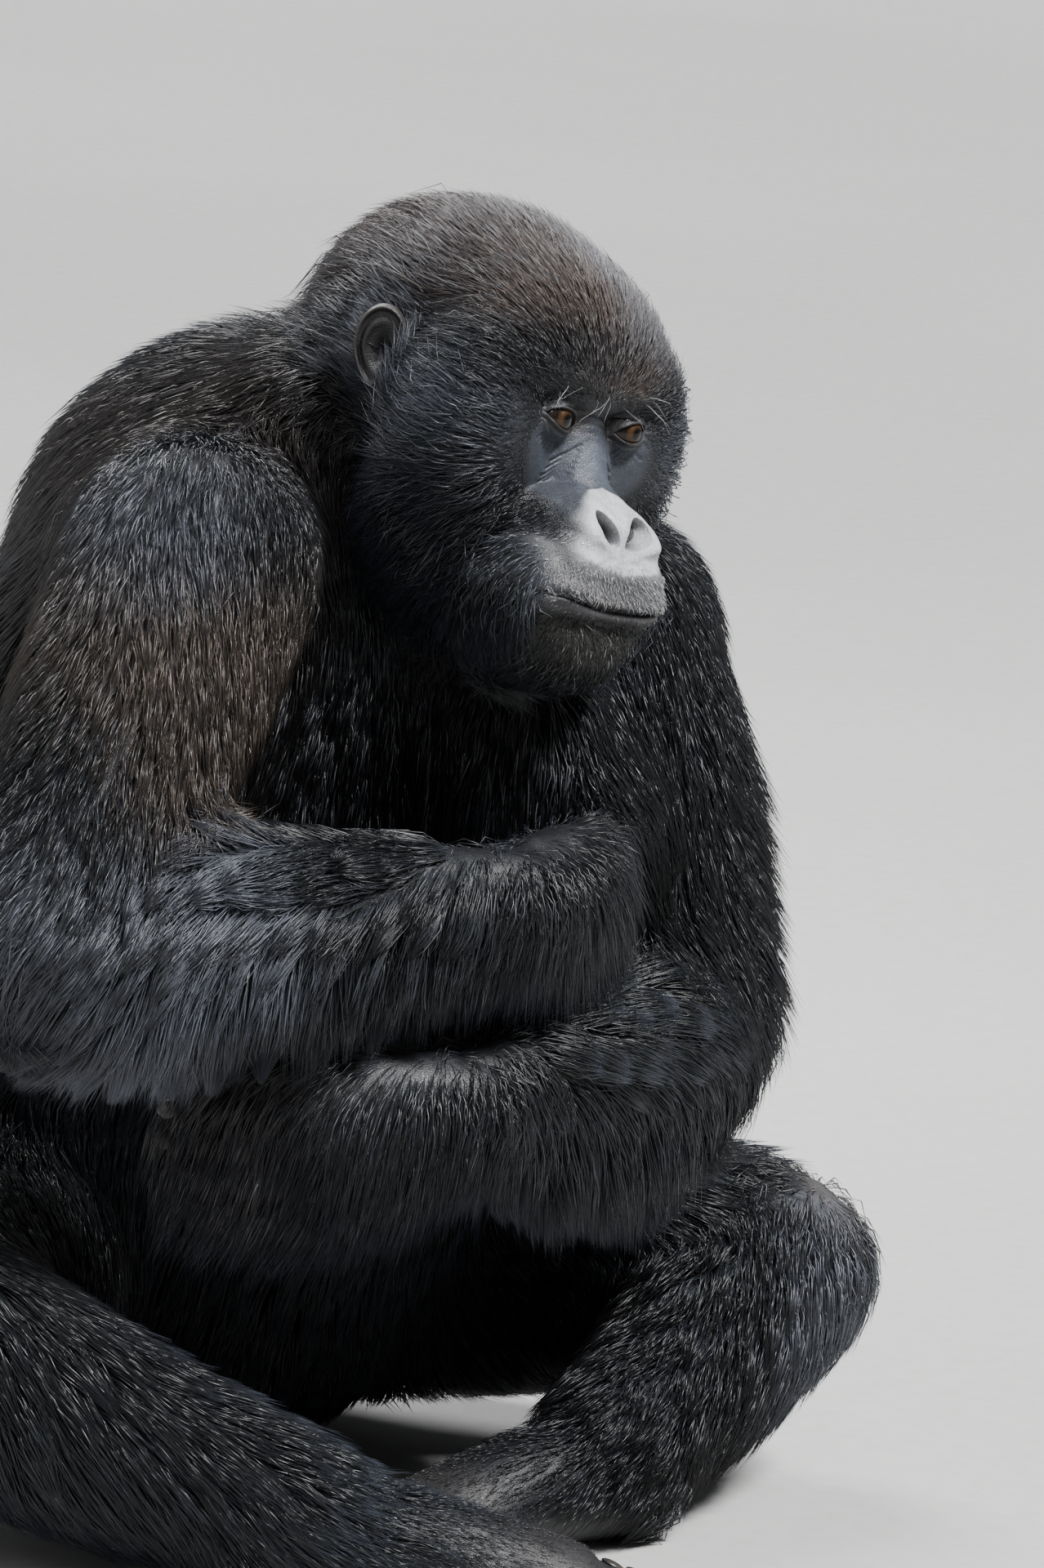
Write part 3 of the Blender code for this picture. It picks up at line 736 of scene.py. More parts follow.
def headHair(local, room):  # lie, length and depth of the hair on the head
    x, y, z = local.T * 1000
    side = np.abs(x)
    oval, _, snout = bareness(local)
    lie = unit(local - np.array((0, -0.125, -0.012)))
    lie = lie + np.array((0, 0.25, 0)) * ease(z, -20, 40)[:, None]
    lie[:, 2] -= 0.9 * ease(y, -20, 60) + 0.65 * ease(-z, 0, 60) * ease(side, 20, 60)
    lie[:, 2] -= 0.9 * ease(-z, 88, 100)
    whiskers = unit(local - np.array((0, -0.140, -0.040)))
    lie = mix(lie, whiskers, snout[:, None])
    ramp = ease(oval, 1.0, 1.55)
    far = 31 + 18 * ease(-z, -10, 60) + 20 * ease(y, 10, 90) + 9 * ease(side, 50, 78)
    far += 13 * ease(y, -15, 35) * ease(z, 20, 60)
    length = mix(4.0, far, ramp)
    chin = ease(-z, 93, 104)
    length = mix(length, mix(5.0, 10, chin), snout * (1 - 0.6 * ease(-z, 118, 132)))
    depth = mix(1.2, room * 1000 * 1.30 + 13 * ease(y, -20, 50) * ease(z, -20, 40), ramp)
    depth = mix(depth, mix(2.2, 5, chin), snout * (1 - 0.5 * ease(-z, 118, 132)))
    depth = np.minimum(depth, length * 0.62)
    return lie, length / 1000, depth / 1000, oval


blending = 0.011  # how softly one stretch of the body's coat runs into the next


def survey(points, normals):  # the coat at each point of the skin
    local = toHead(points)
    room = np.full(len(points), headRoom["elsewhere"])
    onHead = np.linalg.norm(local, axis=1) < skull["size"]
    room[onHead] = roomAbove(points[onHead], normals[onHead])
    headLie, headLength, headDepth, oval = headHair(local, room)
    down = np.array((0, 0, -1.0))
    count = len(points)
    gaps, lies, lengths, depths, hangs, names = [], [], [], [], [], []

    def put(name, distance, lie, length, depth, hang):
        names.append(name)
        gaps.append(distance)
        lies.append(unit(lie))
        lengths.append(np.broadcast_to(length, count))
        depths.append(np.broadcast_to(depth, count))
        hangs.append(np.broadcast_to(hang, count))

    put("head", offSkull(local), headLie @ headAxes.T, headLength, headDepth, 0.0)
    outward = points - np.array(at(0.008, -0.030, 0.600))
    outward[:, 2] = 0
    outward = unit(outward)
    bib = band(away(points, np.array(at(0.085, -0.200, 0.470))), 0.095)
    trunkGap, neckGap, shoulderGap = (gap(points, *zone)[0] for zone in zones.values())
    put("trunk", trunkGap, down + 0.25 * outward, 0.056 + 0.055 * bib, 0.022 + 0.014 * bib, 0.05 + 0.7 * bib)
    put("neck", neckGap, down * 1.2 + outward, 0.066, 0.030, 0.10)
    put("shoulders", shoulderGap, outward + down * 0.55, 0.052, 0.022, 0.0)
    for word in ("left", "right"):
        for name, (first, second, halfFirst, halfSecond, length, depth, hang) in limbs.items():
            start, end = jointAt(word, first), jointAt(word, second)
            distance, along = gap(points, start, end, halfFirst, halfSecond)
            outward = unit(points - start - along[:, None] * (end - start))
            run = np.broadcast_to((end - start) / np.linalg.norm(end - start), (count, 3))
            lie, free = run + down * 0.3, hang * ease(-outward[:, 2], -0.5, 0.6)
            if name == "forearm":
                under = ease(-outward[:, 2], -0.45, 0.45)
                longest = 0.088 if word == "left" else 0.068
                length = mix(0.052, longest, under * ease(along, -0.05, 0.30))
                toElbow = ease(along, 0.0, 0.35)[:, None]
                lie = run * mix(0.25, 1, toElbow) + down * mix(1, 0.65 + 1.0 * under[:, None], toElbow)
                free = hang * ease(-outward[:, 2], -0.40, 0.25)
            elif name == "shin":
                fan = points - kneeTop(word)
                lie = mix(unit(fan), run, ease(along, 0.15, 0.5)[:, None]) + down * 0.45
                length = mix(0.036, length, ease(np.linalg.norm(fan, axis=1), 0.01, 0.07))
                depth = np.minimum(depth, length * 0.4)
            elif name == "hand":
                length = mix(0.072, 0.056, ease(along, 0.1, 0.8))
                lie = run * mix(0.25, 0.8, ease(along, 0.0, 0.4)[:, None]) + down * 1.4
                depth, free = length * 0.30, 0.75
            elif name == "foot":
                length = mix(length * 1.6, length * 0.35, ease(along, 0.1, 0.7))
                depth = length * 0.30
            elif name == "thigh":
                fan = points - kneeTop(word)
                back = ease(-fan @ run[0], -0.02, 0.06)[:, None]
                lie = mix(unit(fan), run * 0.6 + down * 0.7, back) + down * 0.2
            else:
                shaggy = (1.0 if word == "left" else 0.25) * ease(along, 0.0, 0.3)
                length, depth = length + 0.020 * shaggy, depth + 0.024 * shaggy
            put(name + word, distance, lie, length, depth, free)
    gaps = np.array(gaps)
    nearest = gaps.min(axis=0)
    weights = np.exp(-(gaps - nearest) / blending)
    weights /= weights.sum(axis=0)
    lie = np.einsum("zn,znk->nk", weights, np.array(lies))
    lie = lie + 0.22 * np.stack([ripple(points, 26, seed) for seed in (21, 22, 23)], axis=1)
    lie -= normals * (lie * normals).sum(axis=1)[:, None]
    length, depth, hang = ((weights * np.array(values)).sum(axis=0) for values in (lengths, depths, hangs))
    return {
        "lie": unit(lie), "length": length, "depth": depth, "hang": hang, "weights": weights, "names": names,
        "local": local, "oval": oval, "nearest": gaps.argmin(axis=0), "headGap": gaps[0],
    }


def belongs(found, *starts):  # how much of a point is in stretches of the body whose names start so
    rows = [index for index, name in enumerate(found["names"]) if name.startswith(starts)]
    return found["weights"][rows].sum(axis=0)


tones = {
    "black": (0.0036, 0.0041, 0.0057), "crown": (0.036, 0.0235, 0.0175), "nape": (0.038, 0.030, 0.026),
    # on the next line, silver and sheen are painted highlights, and strip is brown hair lightened as painted
    # light
    "paintedSilverSheen": (0.060, 0.062, 0.070), "brownPaintedLit": (0.066, 0.050, 0.039), "paintedSheen": (0.095, 0.102, 0.124),
    "worn": (0.036, 0.030, 0.025), "face": (0.019, 0.022, 0.029), "bridge": (0.055, 0.064, 0.083),
    # pad is pale grey as a painted highlight over dark skin, and lid is dark partly as painted shade
    "pad": (0.350, 0.355, 0.370), "lid": (0.010, 0.0095, 0.011), "lip": (0.050, 0.050, 0.054),
    # hole is near black as painted shade inside the nostrils
    "chin": (0.0085, 0.0090, 0.0065), "sole": (0.012, 0.0115, 0.0125), "hole": (0.004, 0.004, 0.004),
    # rim is lighter as a painted highlight on the ear's edge
    "ear": (0.0070, 0.0065, 0.0070), "rim": (0.019, 0.0165, 0.015),
}


def earDistance(local):  # 0 at the middle of each ear, about 0.8 on its rim
    mirrored = local * np.where(local[:, :1] < 0, np.array((-1, 1, 1)), 1) - np.array(ear["place"])
    return np.linalg.norm(mirrored * 1000 / np.array(ear["reach"]), axis=1)


def markingsAndPaintedLight(points, found):  # one set of markings and painted light and shade for skin and coat
    x, y, z = found["local"].T * 1000
    side = np.abs(x)
    color = np.broadcast_to(tones["black"], (len(points), 3)).copy()

    def lay(tone, amount):
        color[:] = mix(color, np.array(tones[tone]), np.clip(amount, 0, 1)[:, None])

    onHead = belongs(found, "head")
    patchy = 1 + 0.35 * ripple(points, 45, 31)
    patches = ease(ripple(points, 38, 33), -0.7, 0.4)
    fromMiddle, height = points[:, 0] - shift.x, points[:, 2]
    lay("nape", 0.9 * belongs(found, "neck", "shoulders") * ease(-fromMiddle, -0.05, 0.05) * patchy)
    # brown hair of the right upper arm, laid lighter and only on its inner side as painted light
    inner = ease(fromMiddle, -0.300, -0.215) * ease(height, 0.37, 0.43) * fade(height, 0.54, 0.62)
    lay("brownPaintedLit", 0.9 * belongs(found, "upperArmright") * inner * patchy)
    # painted sheen: pale highlights painted on the crest of the shoulder, the forearm and the elbow
    shoulder, elbow, wrist = (jointAt("right", name) for name in ("shoulder", "elbow", "wrist"))
    upperArm, arm = belongs(found, "upperArmright"), belongs(found, "forearmright", "upperArmright")
    for spot, inside, outside, amount in (
            (shoulder + np.array((-0.055, -0.020, 0.035)), 0.03, 0.085, 0.42 * upperArm),
            (mix(elbow, wrist, 0.32), 0.03, 0.105, 0.85 * arm),
            (mix(elbow, wrist, -0.10), 0.03, 0.110, 0.45 * arm)):
        lay("paintedSheen", amount * patches * fade(away(points, spot), inside, outside))
    # the head, from the crown down
    crown = onHead * ease(z, 38, 70) * fade(y, 50, 110) * fade(side, 62, 84)
    lay("crown", 0.95 * crown * patchy)
    lay("nape", 0.3 * onHead * ease(y, 30, 90) * patchy)
    forehead = ease(x, -20, 16) * fade(x, 44, 66) * ease(z, 40, 56) * fade(y, -72, -28)
    # painted sheen: a silver-grey highlight painted on the front of the forehead
    lay("paintedSilverSheen", 0.65 * onHead * forehead)
    lay("crown", 0.60 * onHead * hill(x, z, (12, 38), (30, 8)) * ease(-y, 55, 80))
    temple = ease(side, 56, 76) * fade(y, 0, 50) * ease(z, -60, -20) * fade(z, 8, 36)
    # painted sheen: a pale highlight painted on the temples
    lay("paintedSheen", 0.50 * onHead * temple * ease(ripple(points, 45, 34), -0.7, 0.5))
    # the left knee
    lay("worn", 0.7 * fade(away(points, kneeTop("left")), 0.006, 0.036))
    shinTop = jointAt("left", "knee") + np.array((0.005, -0.060, -0.010))
    front = fade(away(points, shinTop), 0.03, 0.10)
    # painted sheen: a pale highlight painted on the front of the left knee and shin
    lay("paintedSheen", 0.5 * belongs(found, "thighleft", "shinleft") * front * patches)
    # bare skin of the face
    _, padRound, snout = bareness(found["local"])
    bare = onHead * fade(found["oval"], 0.92, 1.15) * ease(-y, 40, 70)
    bare = np.maximum(bare, onHead * snout * fade(-z, 96, 104))
    lay("face", bare)
    lay("bridge", bare * band(x, 16) * ease(z, -36, -14) * fade(z, -8, 8))
    lay("bridge", 0.45 * bare * hill(side, z, (27, -12), (13, 12)))
    lay("lip", bare * snout * fade(side, 46, 60))
    # painted highlight: the pale pad tone laid on the upper lip and the nose pad
    lay("pad", 0.50 * bare * snout * fade(-z, 62, 76) * fade(side, 26, 42))
    lay("pad", bare * fade(padRound, 0.80, 1.08))
    # dark lids: partly the lids' own dark skin, partly painted shade under the brow
    lay("lid", bare * fade(np.hypot((side - 28) / 24, (z - 15) / 13), 0.70, 1.2))
    # painted shade: a dark band along the crease between the lips
    lay("lid", bare * band(z + 92, 2.0) * fade(side, 44, 50))
    muzzle = onHead * ease(-y, 75, 100) * fade(side, 40, 56)
    lay("chin", muzzle * ease(-z, 95, 101) * fade(-z, 122, 136))
    nostril = np.hypot(*nostrilPlace(side, z))
    # painted shade: the nostrils painted near black inside their hollows
    lay("hole", bare * fade(nostril, 0.72, 1.02) * ease(-y, 90, 110))
    # palms, soles and ears
    for word in ("left", "right"):
        for name, first, last in (("hand", "wrist", "fingertip"), ("foot", "ankle", "toe")):
            along = alongRun(points, jointAt(word, first), jointAt(word, last))
            lay("sole", belongs(found, name + word) * ease(along, 0.40, 0.62))
    earAway = earDistance(found["local"])
    onEar = fade(earAway, 0.9, 1.1) * ease(found["headGap"] * 1000, 3.5, 6)
    lay("ear", onEar)
    # painted highlight: a lighter band along the rim of each ear
    lay("rim", onEar * ease(earAway, 0.64, 0.76))
    return color


def storeTones(data, colors):
    layer = data.attributes.new("tone", "FLOAT_COLOR", "POINT")
    opaque = np.column_stack((colors, np.ones(len(colors))))
    layer.data.foreach_set("color", opaque.astype(np.float32).ravel())


def unwrapped(piece):
    bpy.context.view_layer.objects.active = piece
    piece.select_set(True)
    piece.data.uv_layers.new(name="OFBake")
    bpy.ops.object.mode_set(mode="EDIT")
    bpy.ops.mesh.select_all(action="SELECT")
    bpy.ops.uv.smart_project(angle_limit=math.radians(66), island_margin=0.002)
    bpy.ops.object.mode_set(mode="OBJECT")
    piece.select_set(False)


print("skin: unwrapping")
unwrapped(skin)
skinPoints = pointsOf(skin.data)
skinNormals = normalsOf(skin.data)
skinSurvey = survey(skinPoints, skinNormals)
storeTones(skin.data, markingsAndPaintedLight(skinPoints, skinSurvey))


# the coat: closed tufts, rooted in the skin, that lie with the hair

def trianglesOf(data):  # each triangle's corners, and their places on the unwrap
    data.calc_loop_triangles()
    loops = readRows(data.loop_triangles, "loops", 3, np.int32)
    places = readRows(data.uv_layers["OFBake"].data, "uv", 2)
    return readRows(data.loop_triangles, "vertices", 3, np.int32), places[loops].astype(float)


corners, cornerPlaces = trianglesOf(skin.data)
sides = skinPoints[corners]
areas = np.linalg.norm(np.cross(sides[:, 1] - sides[:, 0], sides[:, 2] - sides[:, 0]), axis=1) / 2
tree = BVHTree.FromPolygons(skinPoints.tolist(), corners.tolist())


def nearestSkin(points):
    spots, outs = np.empty_like(points), np.empty_like(points)
    for index, point in enumerate(points):
        spot, out, _, _ = tree.find_nearest(point)
        spots[index] = spot
        outs[index] = out
    return spots, outs


def scatter(count, weights):  # evenly spread picks of triangles by weight, and a spot in each
    total = np.cumsum(weights)
    picks = np.searchsorted(total, (np.arange(count) + rng.random(count)) / count * total[-1])
    picks = np.minimum(picks, len(weights) - 1)
    first, second = rng.random(count), rng.random(count)
    over = first + second > 1
    first[over], second[over] = 1 - first[over], 1 - second[over]
    spots = np.stack((1 - first - second, first, second), axis=1)
    return picks, spots


def rootsAt(picks, spots):  # points of the skin, its normals there and their places on the unwrap
    point, normal, place = (
        np.einsum("nc,nck->nk", spots, values[picks])
        for values in (sides, skinNormals[corners], cornerPlaces))
    return point, unit(normal), place


def clumped(paths, size, pull):  # draws neighbouring tufts together towards their tips
    roots = paths[:, 0]
    warp = np.stack([ripple(roots, 1.3 / size.mean(), seed) for seed in (41, 42, 43)], axis=1)
    cells = np.floor((roots + 0.35 * size[:, None] * warp) / size[:, None]).astype(np.int64)
    _, group = np.unique(cells, axis=0, return_inverse=True)
    group = group.reshape(-1)
    members = np.bincount(group)
    steps = paths.shape[1] - 1
    strength = pull * rng.uniform(0.5, 1.3, len(paths))[group]  # as many draws however many locks there are
    for step in range(1, steps + 1):
        middle = np.stack([np.bincount(group, paths[:, step, axis]) / members for axis in range(3)], axis=1)
        paths[:, step] = mix(paths[:, step], middle[group], (strength * (step / steps) ** 1.2)[:, None])
    return paths


tuft = {  # depth of its root, least width, half its patch on the unwrap, and its section's shape
    "sunk": 0.0012, "narrowest": 0.0005, "patch": 0.0015, "low": 0.35, "high": 0.75,
}


def layTufts(roots, normals, found, stops):  # the line of each tuft, laid over the skin
    lengths = found["length"] * rng.uniform(0.65, 1.25, len(roots))
    rise = found["depth"] * rng.uniform(0.25, 1.0, len(roots)) ** 0.8
    hang = found["hang"]
    loosely = 0.16 + 0.12 * belongs(found, "head") * ease(found["oval"], 1.2, 1.8)
    heading = found["lie"] + loosely[:, None] * rng.normal(size=(len(roots), 3))
    last = roots - normals * tuft["sunk"]
    paths = [last]
    previous = 0
    for stop in stops:
        stride = (lengths * (stop - previous))[:, None]
        previous = stop
        spots, outs = nearestSkin(last + heading * stride)
        snug = spots + outs * (rise * stop ** 0.75)[:, None]
        loose = last + unit(heading + normals * 0.3 + np.array((0, 0, -1.1 * stop))) * stride
        # free hair that would run into the body is put back on it
        depthIn = ((loose - spots) * outs).sum(axis=1)
        loose = loose + outs * np.maximum(rise * 0.5 - depthIn, 0)[:, None] * (depthIn < rise * 0.5)[:, None]
        wanted = mix(snug, loose, hang[:, None])
        run = unit(wanted - last)
        new = last + run * stride
        new[:, 2] = np.maximum(new[:, 2], 0.0015 + 0.002 * rng.random(len(new)))  # clear of the floor
        flat = unit(run - outs * (run * outs).sum(axis=1)[:, None])
        heading = unit(mix(run, flat, (1 - hang)[:, None]) + 0.10 * rng.normal(size=run.shape))
        last = new
        paths.append(new)
    return np.stack(paths, axis=1), lengths


def tuftPiece(name, paths, normals, widths, colors, places, tips):  # closed three-sided tufts on their lines
    count, stations = paths.shape[:2]
    rings = stations - 2
    perTuft = 2 + 3 * rings
    tangents = unit(paths[:, 2:] - paths[:, :-2])
    across = unit(np.cross(tangents, normals[:, None]))
    twist = rng.normal(0, 0.5, count)[:, None, None]
    over = np.cross(across, tangents)
    turned, tilted = np.cos(twist), np.sin(twist)
    across, over = across * turned + over * tilted, over * turned - across * tilted
    points = np.empty((count, perTuft, 3))
    points[:, 0] = paths[:, 0]
    points[:, -1] = paths[:, -1]
    along, wide = np.zeros(perTuft), np.zeros(perTuft)
    along[-1] = 1
    for ring in range(rings):
        half = (widths * (1 - 0.25 * ring) / 2)[:, None]
        middle = paths[:, ring + 1]
        base = 1 + 3 * ring
        points[:, base] = middle - across[:, ring] * half - over[:, ring] * half * tuft["low"]
        points[:, base + 1] = middle + over[:, ring] * half * tuft["high"]
        points[:, base + 2] = middle + across[:, ring] * half - over[:, ring] * half * tuft["low"]
        along[base:base + 3] = (ring + 1) / (rings + 1)
        wide[base:base + 3] = (-1, 0, 1)
    pattern = []
    for spoke in range(3):
        first, after = 1 + spoke, 1 + (spoke + 1) % 3
        pattern.append((0, after, first))
        for base in range(0, 3 * (rings - 1), 3):
            a, b = base + first, base + after
            pattern += [(a, b, b + 3), (a, b + 3, a + 3)]
        pattern.append((3 * (rings - 1) + first, 3 * (rings - 1) + after, perTuft - 1))
    triangles = (np.arange(count)[:, None, None] * perTuft + np.array(pattern)).reshape(-1, 3)
    data = bpy.data.meshes.new(name)
    data.vertices.add(count * perTuft)
    data.vertices.foreach_set("co", points.astype(np.float32).ravel())
    data.loops.add(len(triangles) * 3)
    data.loops.foreach_set("vertex_index", triangles.astype(np.int32).ravel())
    data.polygons.add(len(triangles))
    data.polygons.foreach_set("loop_start", np.arange(0, len(triangles) * 3, 3, dtype=np.int32))
    data.polygons.foreach_set("loop_total", np.full(len(triangles), 3, np.int32))
    data.update(calc_edges=True)
    data.shade_smooth()
    # painted shade at the root and the edges, and a painted highlight along the ridge and towards the tip
    shade = (0.75 + (tips[:, None] - 0.75) * along) * np.where(along == 1, 1, np.where(wide == 0, 1.25, 0.62))
    storeTones(data, (colors[:, None] * shade[:, :, None]).reshape(-1, 3))
    patch = tuft["patch"] * np.stack((wide, 2 * along - 1), axis=1)
    spots = np.clip(places[:, None] + patch[None], 0.0005, 0.9995).reshape(-1, 2)
    layer = data.uv_layers.new(name="OFBake")
    layer.data.foreach_set("uv", spots[triangles.ravel()].astype(np.float32).ravel())
    print("coat", name, len(data.polygons))
    return linked(name, data)


def grow(name, count, weights, stops, widthShare, widest, clump, pull):
    roots, normals, places = rootsAt(*scatter(count, weights))
    found = survey(roots, normals)
    paths, lengths = layTufts(roots, normals, found, stops)
    paths = clumped(paths, clump * (0.5 + found["length"] / 0.06), pull)
    widths = np.clip(lengths * widthShare, tuft["narrowest"], widest) * rng.uniform(0.7, 1.25, count)
    colors = markingsAndPaintedLight(roots, found) * rng.uniform(0.65, 1.45, count)[:, None]
    _, _, snout = bareness(found["local"])
    whiskers = snout * belongs(found, "head") * fade(found["local"][:, 2] * -1000, 92, 97)
    # tips a quarter lighter everywhere are a painted highlight
    tips = 1.25 + 8.0 * whiskers * (rng.random(count) < 0.6)  # some whiskers have pale ends
    return tuftPiece(name, paths, normals, widths, colors, places, tips)


def regionWeights():  # which stretch of the body each triangle is on, and how thickly it grows there
    middle = sides.mean(axis=1)
    normals = unit(skinNormals[corners].mean(axis=1))
    found = survey(middle, normals)
    owner = np.array(found["names"])[found["nearest"]]
    oval, pad, snout = bareness(found["local"])
    onHead = owner == "head"
    density = np.ones(len(middle))
    density[onHead] = np.clip((oval - 0.96) / 0.10, 0, 1)[onHead]
    lipHair = onHead & (snout > 0.05)
    lipCover = np.clip((pad - 1.0) / 0.35, 0, 1) * mix(0.30, 0.9, ease(-found["local"][:, 2], 0.095, 0.103))
    density[lipHair] = mix(density, lipCover, snout)[lipHair]
    density[(earDistance(found["local"]) < 1) & (found["headGap"] > 0.0038)] = 0
    density *= np.where(middle[:, 2] < 0.03, 0.5, 1.0) * (middle[:, 2] > 0.004)
    for word in ("left", "right"):
        for name, first, last, dorsal, far in (
                ("hand", "wrist", "fingertip", np.array((0, -1, 0.4)), 1.25),
                ("foot", "ankle", "toe", np.array((0, 0, 1)), 0.80)):
            along = alongRun(middle, jointAt(word, first), jointAt(word, last))
            backOf = ease(normals @ unit(dorsal), -0.35, 0.15)
            mine = owner == name + word
            density[mine] *= (backOf * fade(along, far - 0.15, far))[mine]
    return owner, areas * density, middle, found["local"] * 1000


owner, growth, middles, localMiddles = regionWeights()
faceSide, backSide = -35, 0.09  # where the face's hair meets the head's, and the belly's the back's
short, lengthy = (0.45, 1), (0.3, 0.65, 1)


def on(*names):
    return np.isin(owner, names)


coat = {  # where it grows, tufts, stations along each, width over length, widest, size and pull of its locks
    "coat_face": (on("head") & (localMiddles[:, 1] < faceSide), 30000, short, 0.024, 0.00075, 0.0055, 0.45),
    "coat_head": (on("head") & (localMiddles[:, 1] >= faceSide), 28000, short, 0.022, 0.00085, 0.008, 0.50),
    "coat_shoulders": (
        on("neck", "shoulders", "upperArmleft", "upperArmright"), 30000, short, 0.022, 0.0010, 0.012, 0.60),
    "coat_back": (on("trunk") & (middles[:, 1] > backSide), 26000, short, 0.026, 0.0013, 0.016, 0.65),
    "coat_belly": (on("trunk") & (middles[:, 1] <= backSide), 26000, short, 0.024, 0.0011, 0.015, 0.65),
    "coat_forearm_left": (on("forearmleft"), 12500, lengthy, 0.015, 0.0012, 0.018, 0.75),
    "coat_forearm_right": (on("forearmright"), 12500, lengthy, 0.015, 0.0012, 0.018, 0.75),
    "coat_leg_left": (on("thighleft", "shinleft"), 25000, short, 0.022, 0.0011, 0.014, 0.62),
    "coat_leg_right": (on("thighright", "shinright"), 25000, short, 0.022, 0.0011, 0.014, 0.62),
    "coat_hands_feet": (
        on("handleft", "handright", "footleft", "footright"), 12000, short, 0.028, 0.0009, 0.008, 0.55),
}
coats = [grow(name, count, growth * mask, *settings) for name, (mask, count, *settings) in coat.items()]

bristles = (  # middle and half size, how many, length, how far out, and the way they point
    ((20, 31), (22, 6), 14, 0.034, 0.020, (0.9, -0.6, -0.15)),  # brow
    ((16, -76), (40, 12), 520, 0.0060, 0.0030, (0.25, -0.8, -0.5)),  # upper lip
    ((22, -86), (34, 3), 110, 0.0062, 0.0036, (0.1, -0.9, -0.5)),  # its edge
    ((10, -112), (30, 12), 16, 0.011, 0.006, (0.1, -0.6, -0.9)),  # chin
)


def paleHairs(name):  # single pale hairs
    parts = []
    x, y, z = localMiddles.T  # millimetres
    for middle, half, count, length, rise, lean in bristles:
        patch = ((np.abs(x) - middle[0]) / half[0]) ** 2 + ((z - middle[1]) / half[1]) ** 2 < 1
        roots, normals, places = rootsAt(*scatter(count, areas * patch * (y < -70) * on("head")))
        found = survey(roots, normals)
        way = np.tile(lean, (count, 1))
        way[:, 0] *= np.sign(found["local"][:, 0])
        found["lie"] = unit(way + 0.30 * rng.normal(size=way.shape)) @ headAxes.T
        for key, value in (("length", length), ("depth", rise), ("hang", 0.5)):
            found[key] = np.full(count, value)
        parts.append((layTufts(roots, normals, found, lengthy)[0], normals, places))
    paths, normals, places = (np.concatenate(kind) for kind in zip(*parts))
    count = len(paths)
    widths = rng.uniform(0.00020, 0.00034, count)
    # their tips a little lighter as a painted highlight
    return tuftPiece(name, paths, normals, widths, np.full((count, 3), 0.30), places, np.full(count, 1.3))


coats.append(paleHairs("coat_bristles"))


# finishes

def feed(tree, node, values):  # sets inputs by name or number: a socket is linked, anything else is a value
    for key, value in values.items():
        if isinstance(value, bpy.types.NodeSocket):
            tree.links.new(value, node.inputs[key])
        else:
            node.inputs[key].default_value = value
    return node


def addNode(tree, kind, inputs=None, **settings):
    node = tree.nodes.new(kind)
    for key, value in settings.items():
        setattr(node, key, value)
    return feed(tree, node, inputs or {})


def reckon(tree, operation, *values, kind="Math", **settings):  # arithmetic on sockets and numbers
    inputs = dict(enumerate(values))
    return addNode(tree, "ShaderNode" + kind, inputs, operation=operation, **settings).outputs[0]


def noise(tree, place, **inputs):
    return addNode(tree, "ShaderNodeTexNoise", {"Vector": place, **inputs}).outputs


def spread(tree, value, start, end, low, high):  # maps one range of a value to another
    ends = {"Value": value, "From Min": start, "From Max": end, "To Min": low, "To Max": high}
    return addNode(tree, "ShaderNodeMapRange", ends).outputs["Result"]


def principled(name, roughness, specular, **extras):
    material = bpy.data.materials.new(name)
    material.use_nodes = True
    shader = material.node_tree.nodes["Principled BSDF"]
    inputs = {key.replace("_", " "): value for key, value in extras.items()}
    feed(material.node_tree, shader, {"Roughness": roughness, "Specular IOR Level": specular, **inputs})
    return material, material.node_tree, shader


def nodeGroup(name, inputs, outputs):
    group = bpy.data.node_groups.new(name, "ShaderNodeTree")
    for label, kind, value in inputs:
        socket = group.interface.new_socket(label, in_out="INPUT", socket_type="NodeSocket" + kind)
        if value is not None:
            socket.default_value = value
    for label, kind in outputs:
        group.interface.new_socket(label, in_out="OUTPUT", socket_type="NodeSocket" + kind)
    given, result = group.nodes.new("NodeGroupInput"), group.nodes.new("NodeGroupOutput")
    place = group.nodes.new("ShaderNodeTexCoord").outputs["Object"]
    return group, given.outputs, result, place


def mottleGroup():  # uneven colour: soft patches and fine flecks
    group, given, result, place = nodeGroup(
        "mottle", (("Color", "Color", None), ("Patch", "Float", 30.0), ("Fleck", "Float", 400.0),
                   ("Amount", "Float", 0.3)), (("Color", "Color"), ("Mask", "Float")))
    patch = noise(group, place, Scale=given["Patch"], Detail=3.0, Roughness=0.55)
    fleck = noise(group, place, Scale=given["Fleck"], Detail=2.0, Roughness=0.6)
    total = reckon(group, "ADD", patch["Fac"], fleck["Fac"])
    scaled = reckon(group, "MULTIPLY", reckon(group, "SUBTRACT", total, 1.0), given["Amount"])
    factor = reckon(group, "MULTIPLY_ADD", scaled, 4.0, 1.0)
    tinted = addNode(group, "ShaderNodeVectorMath", {0: given["Color"], "Scale": factor}, operation="SCALE")
    feed(group, result, {"Color": tinted.outputs[0], "Mask": total})
    return group


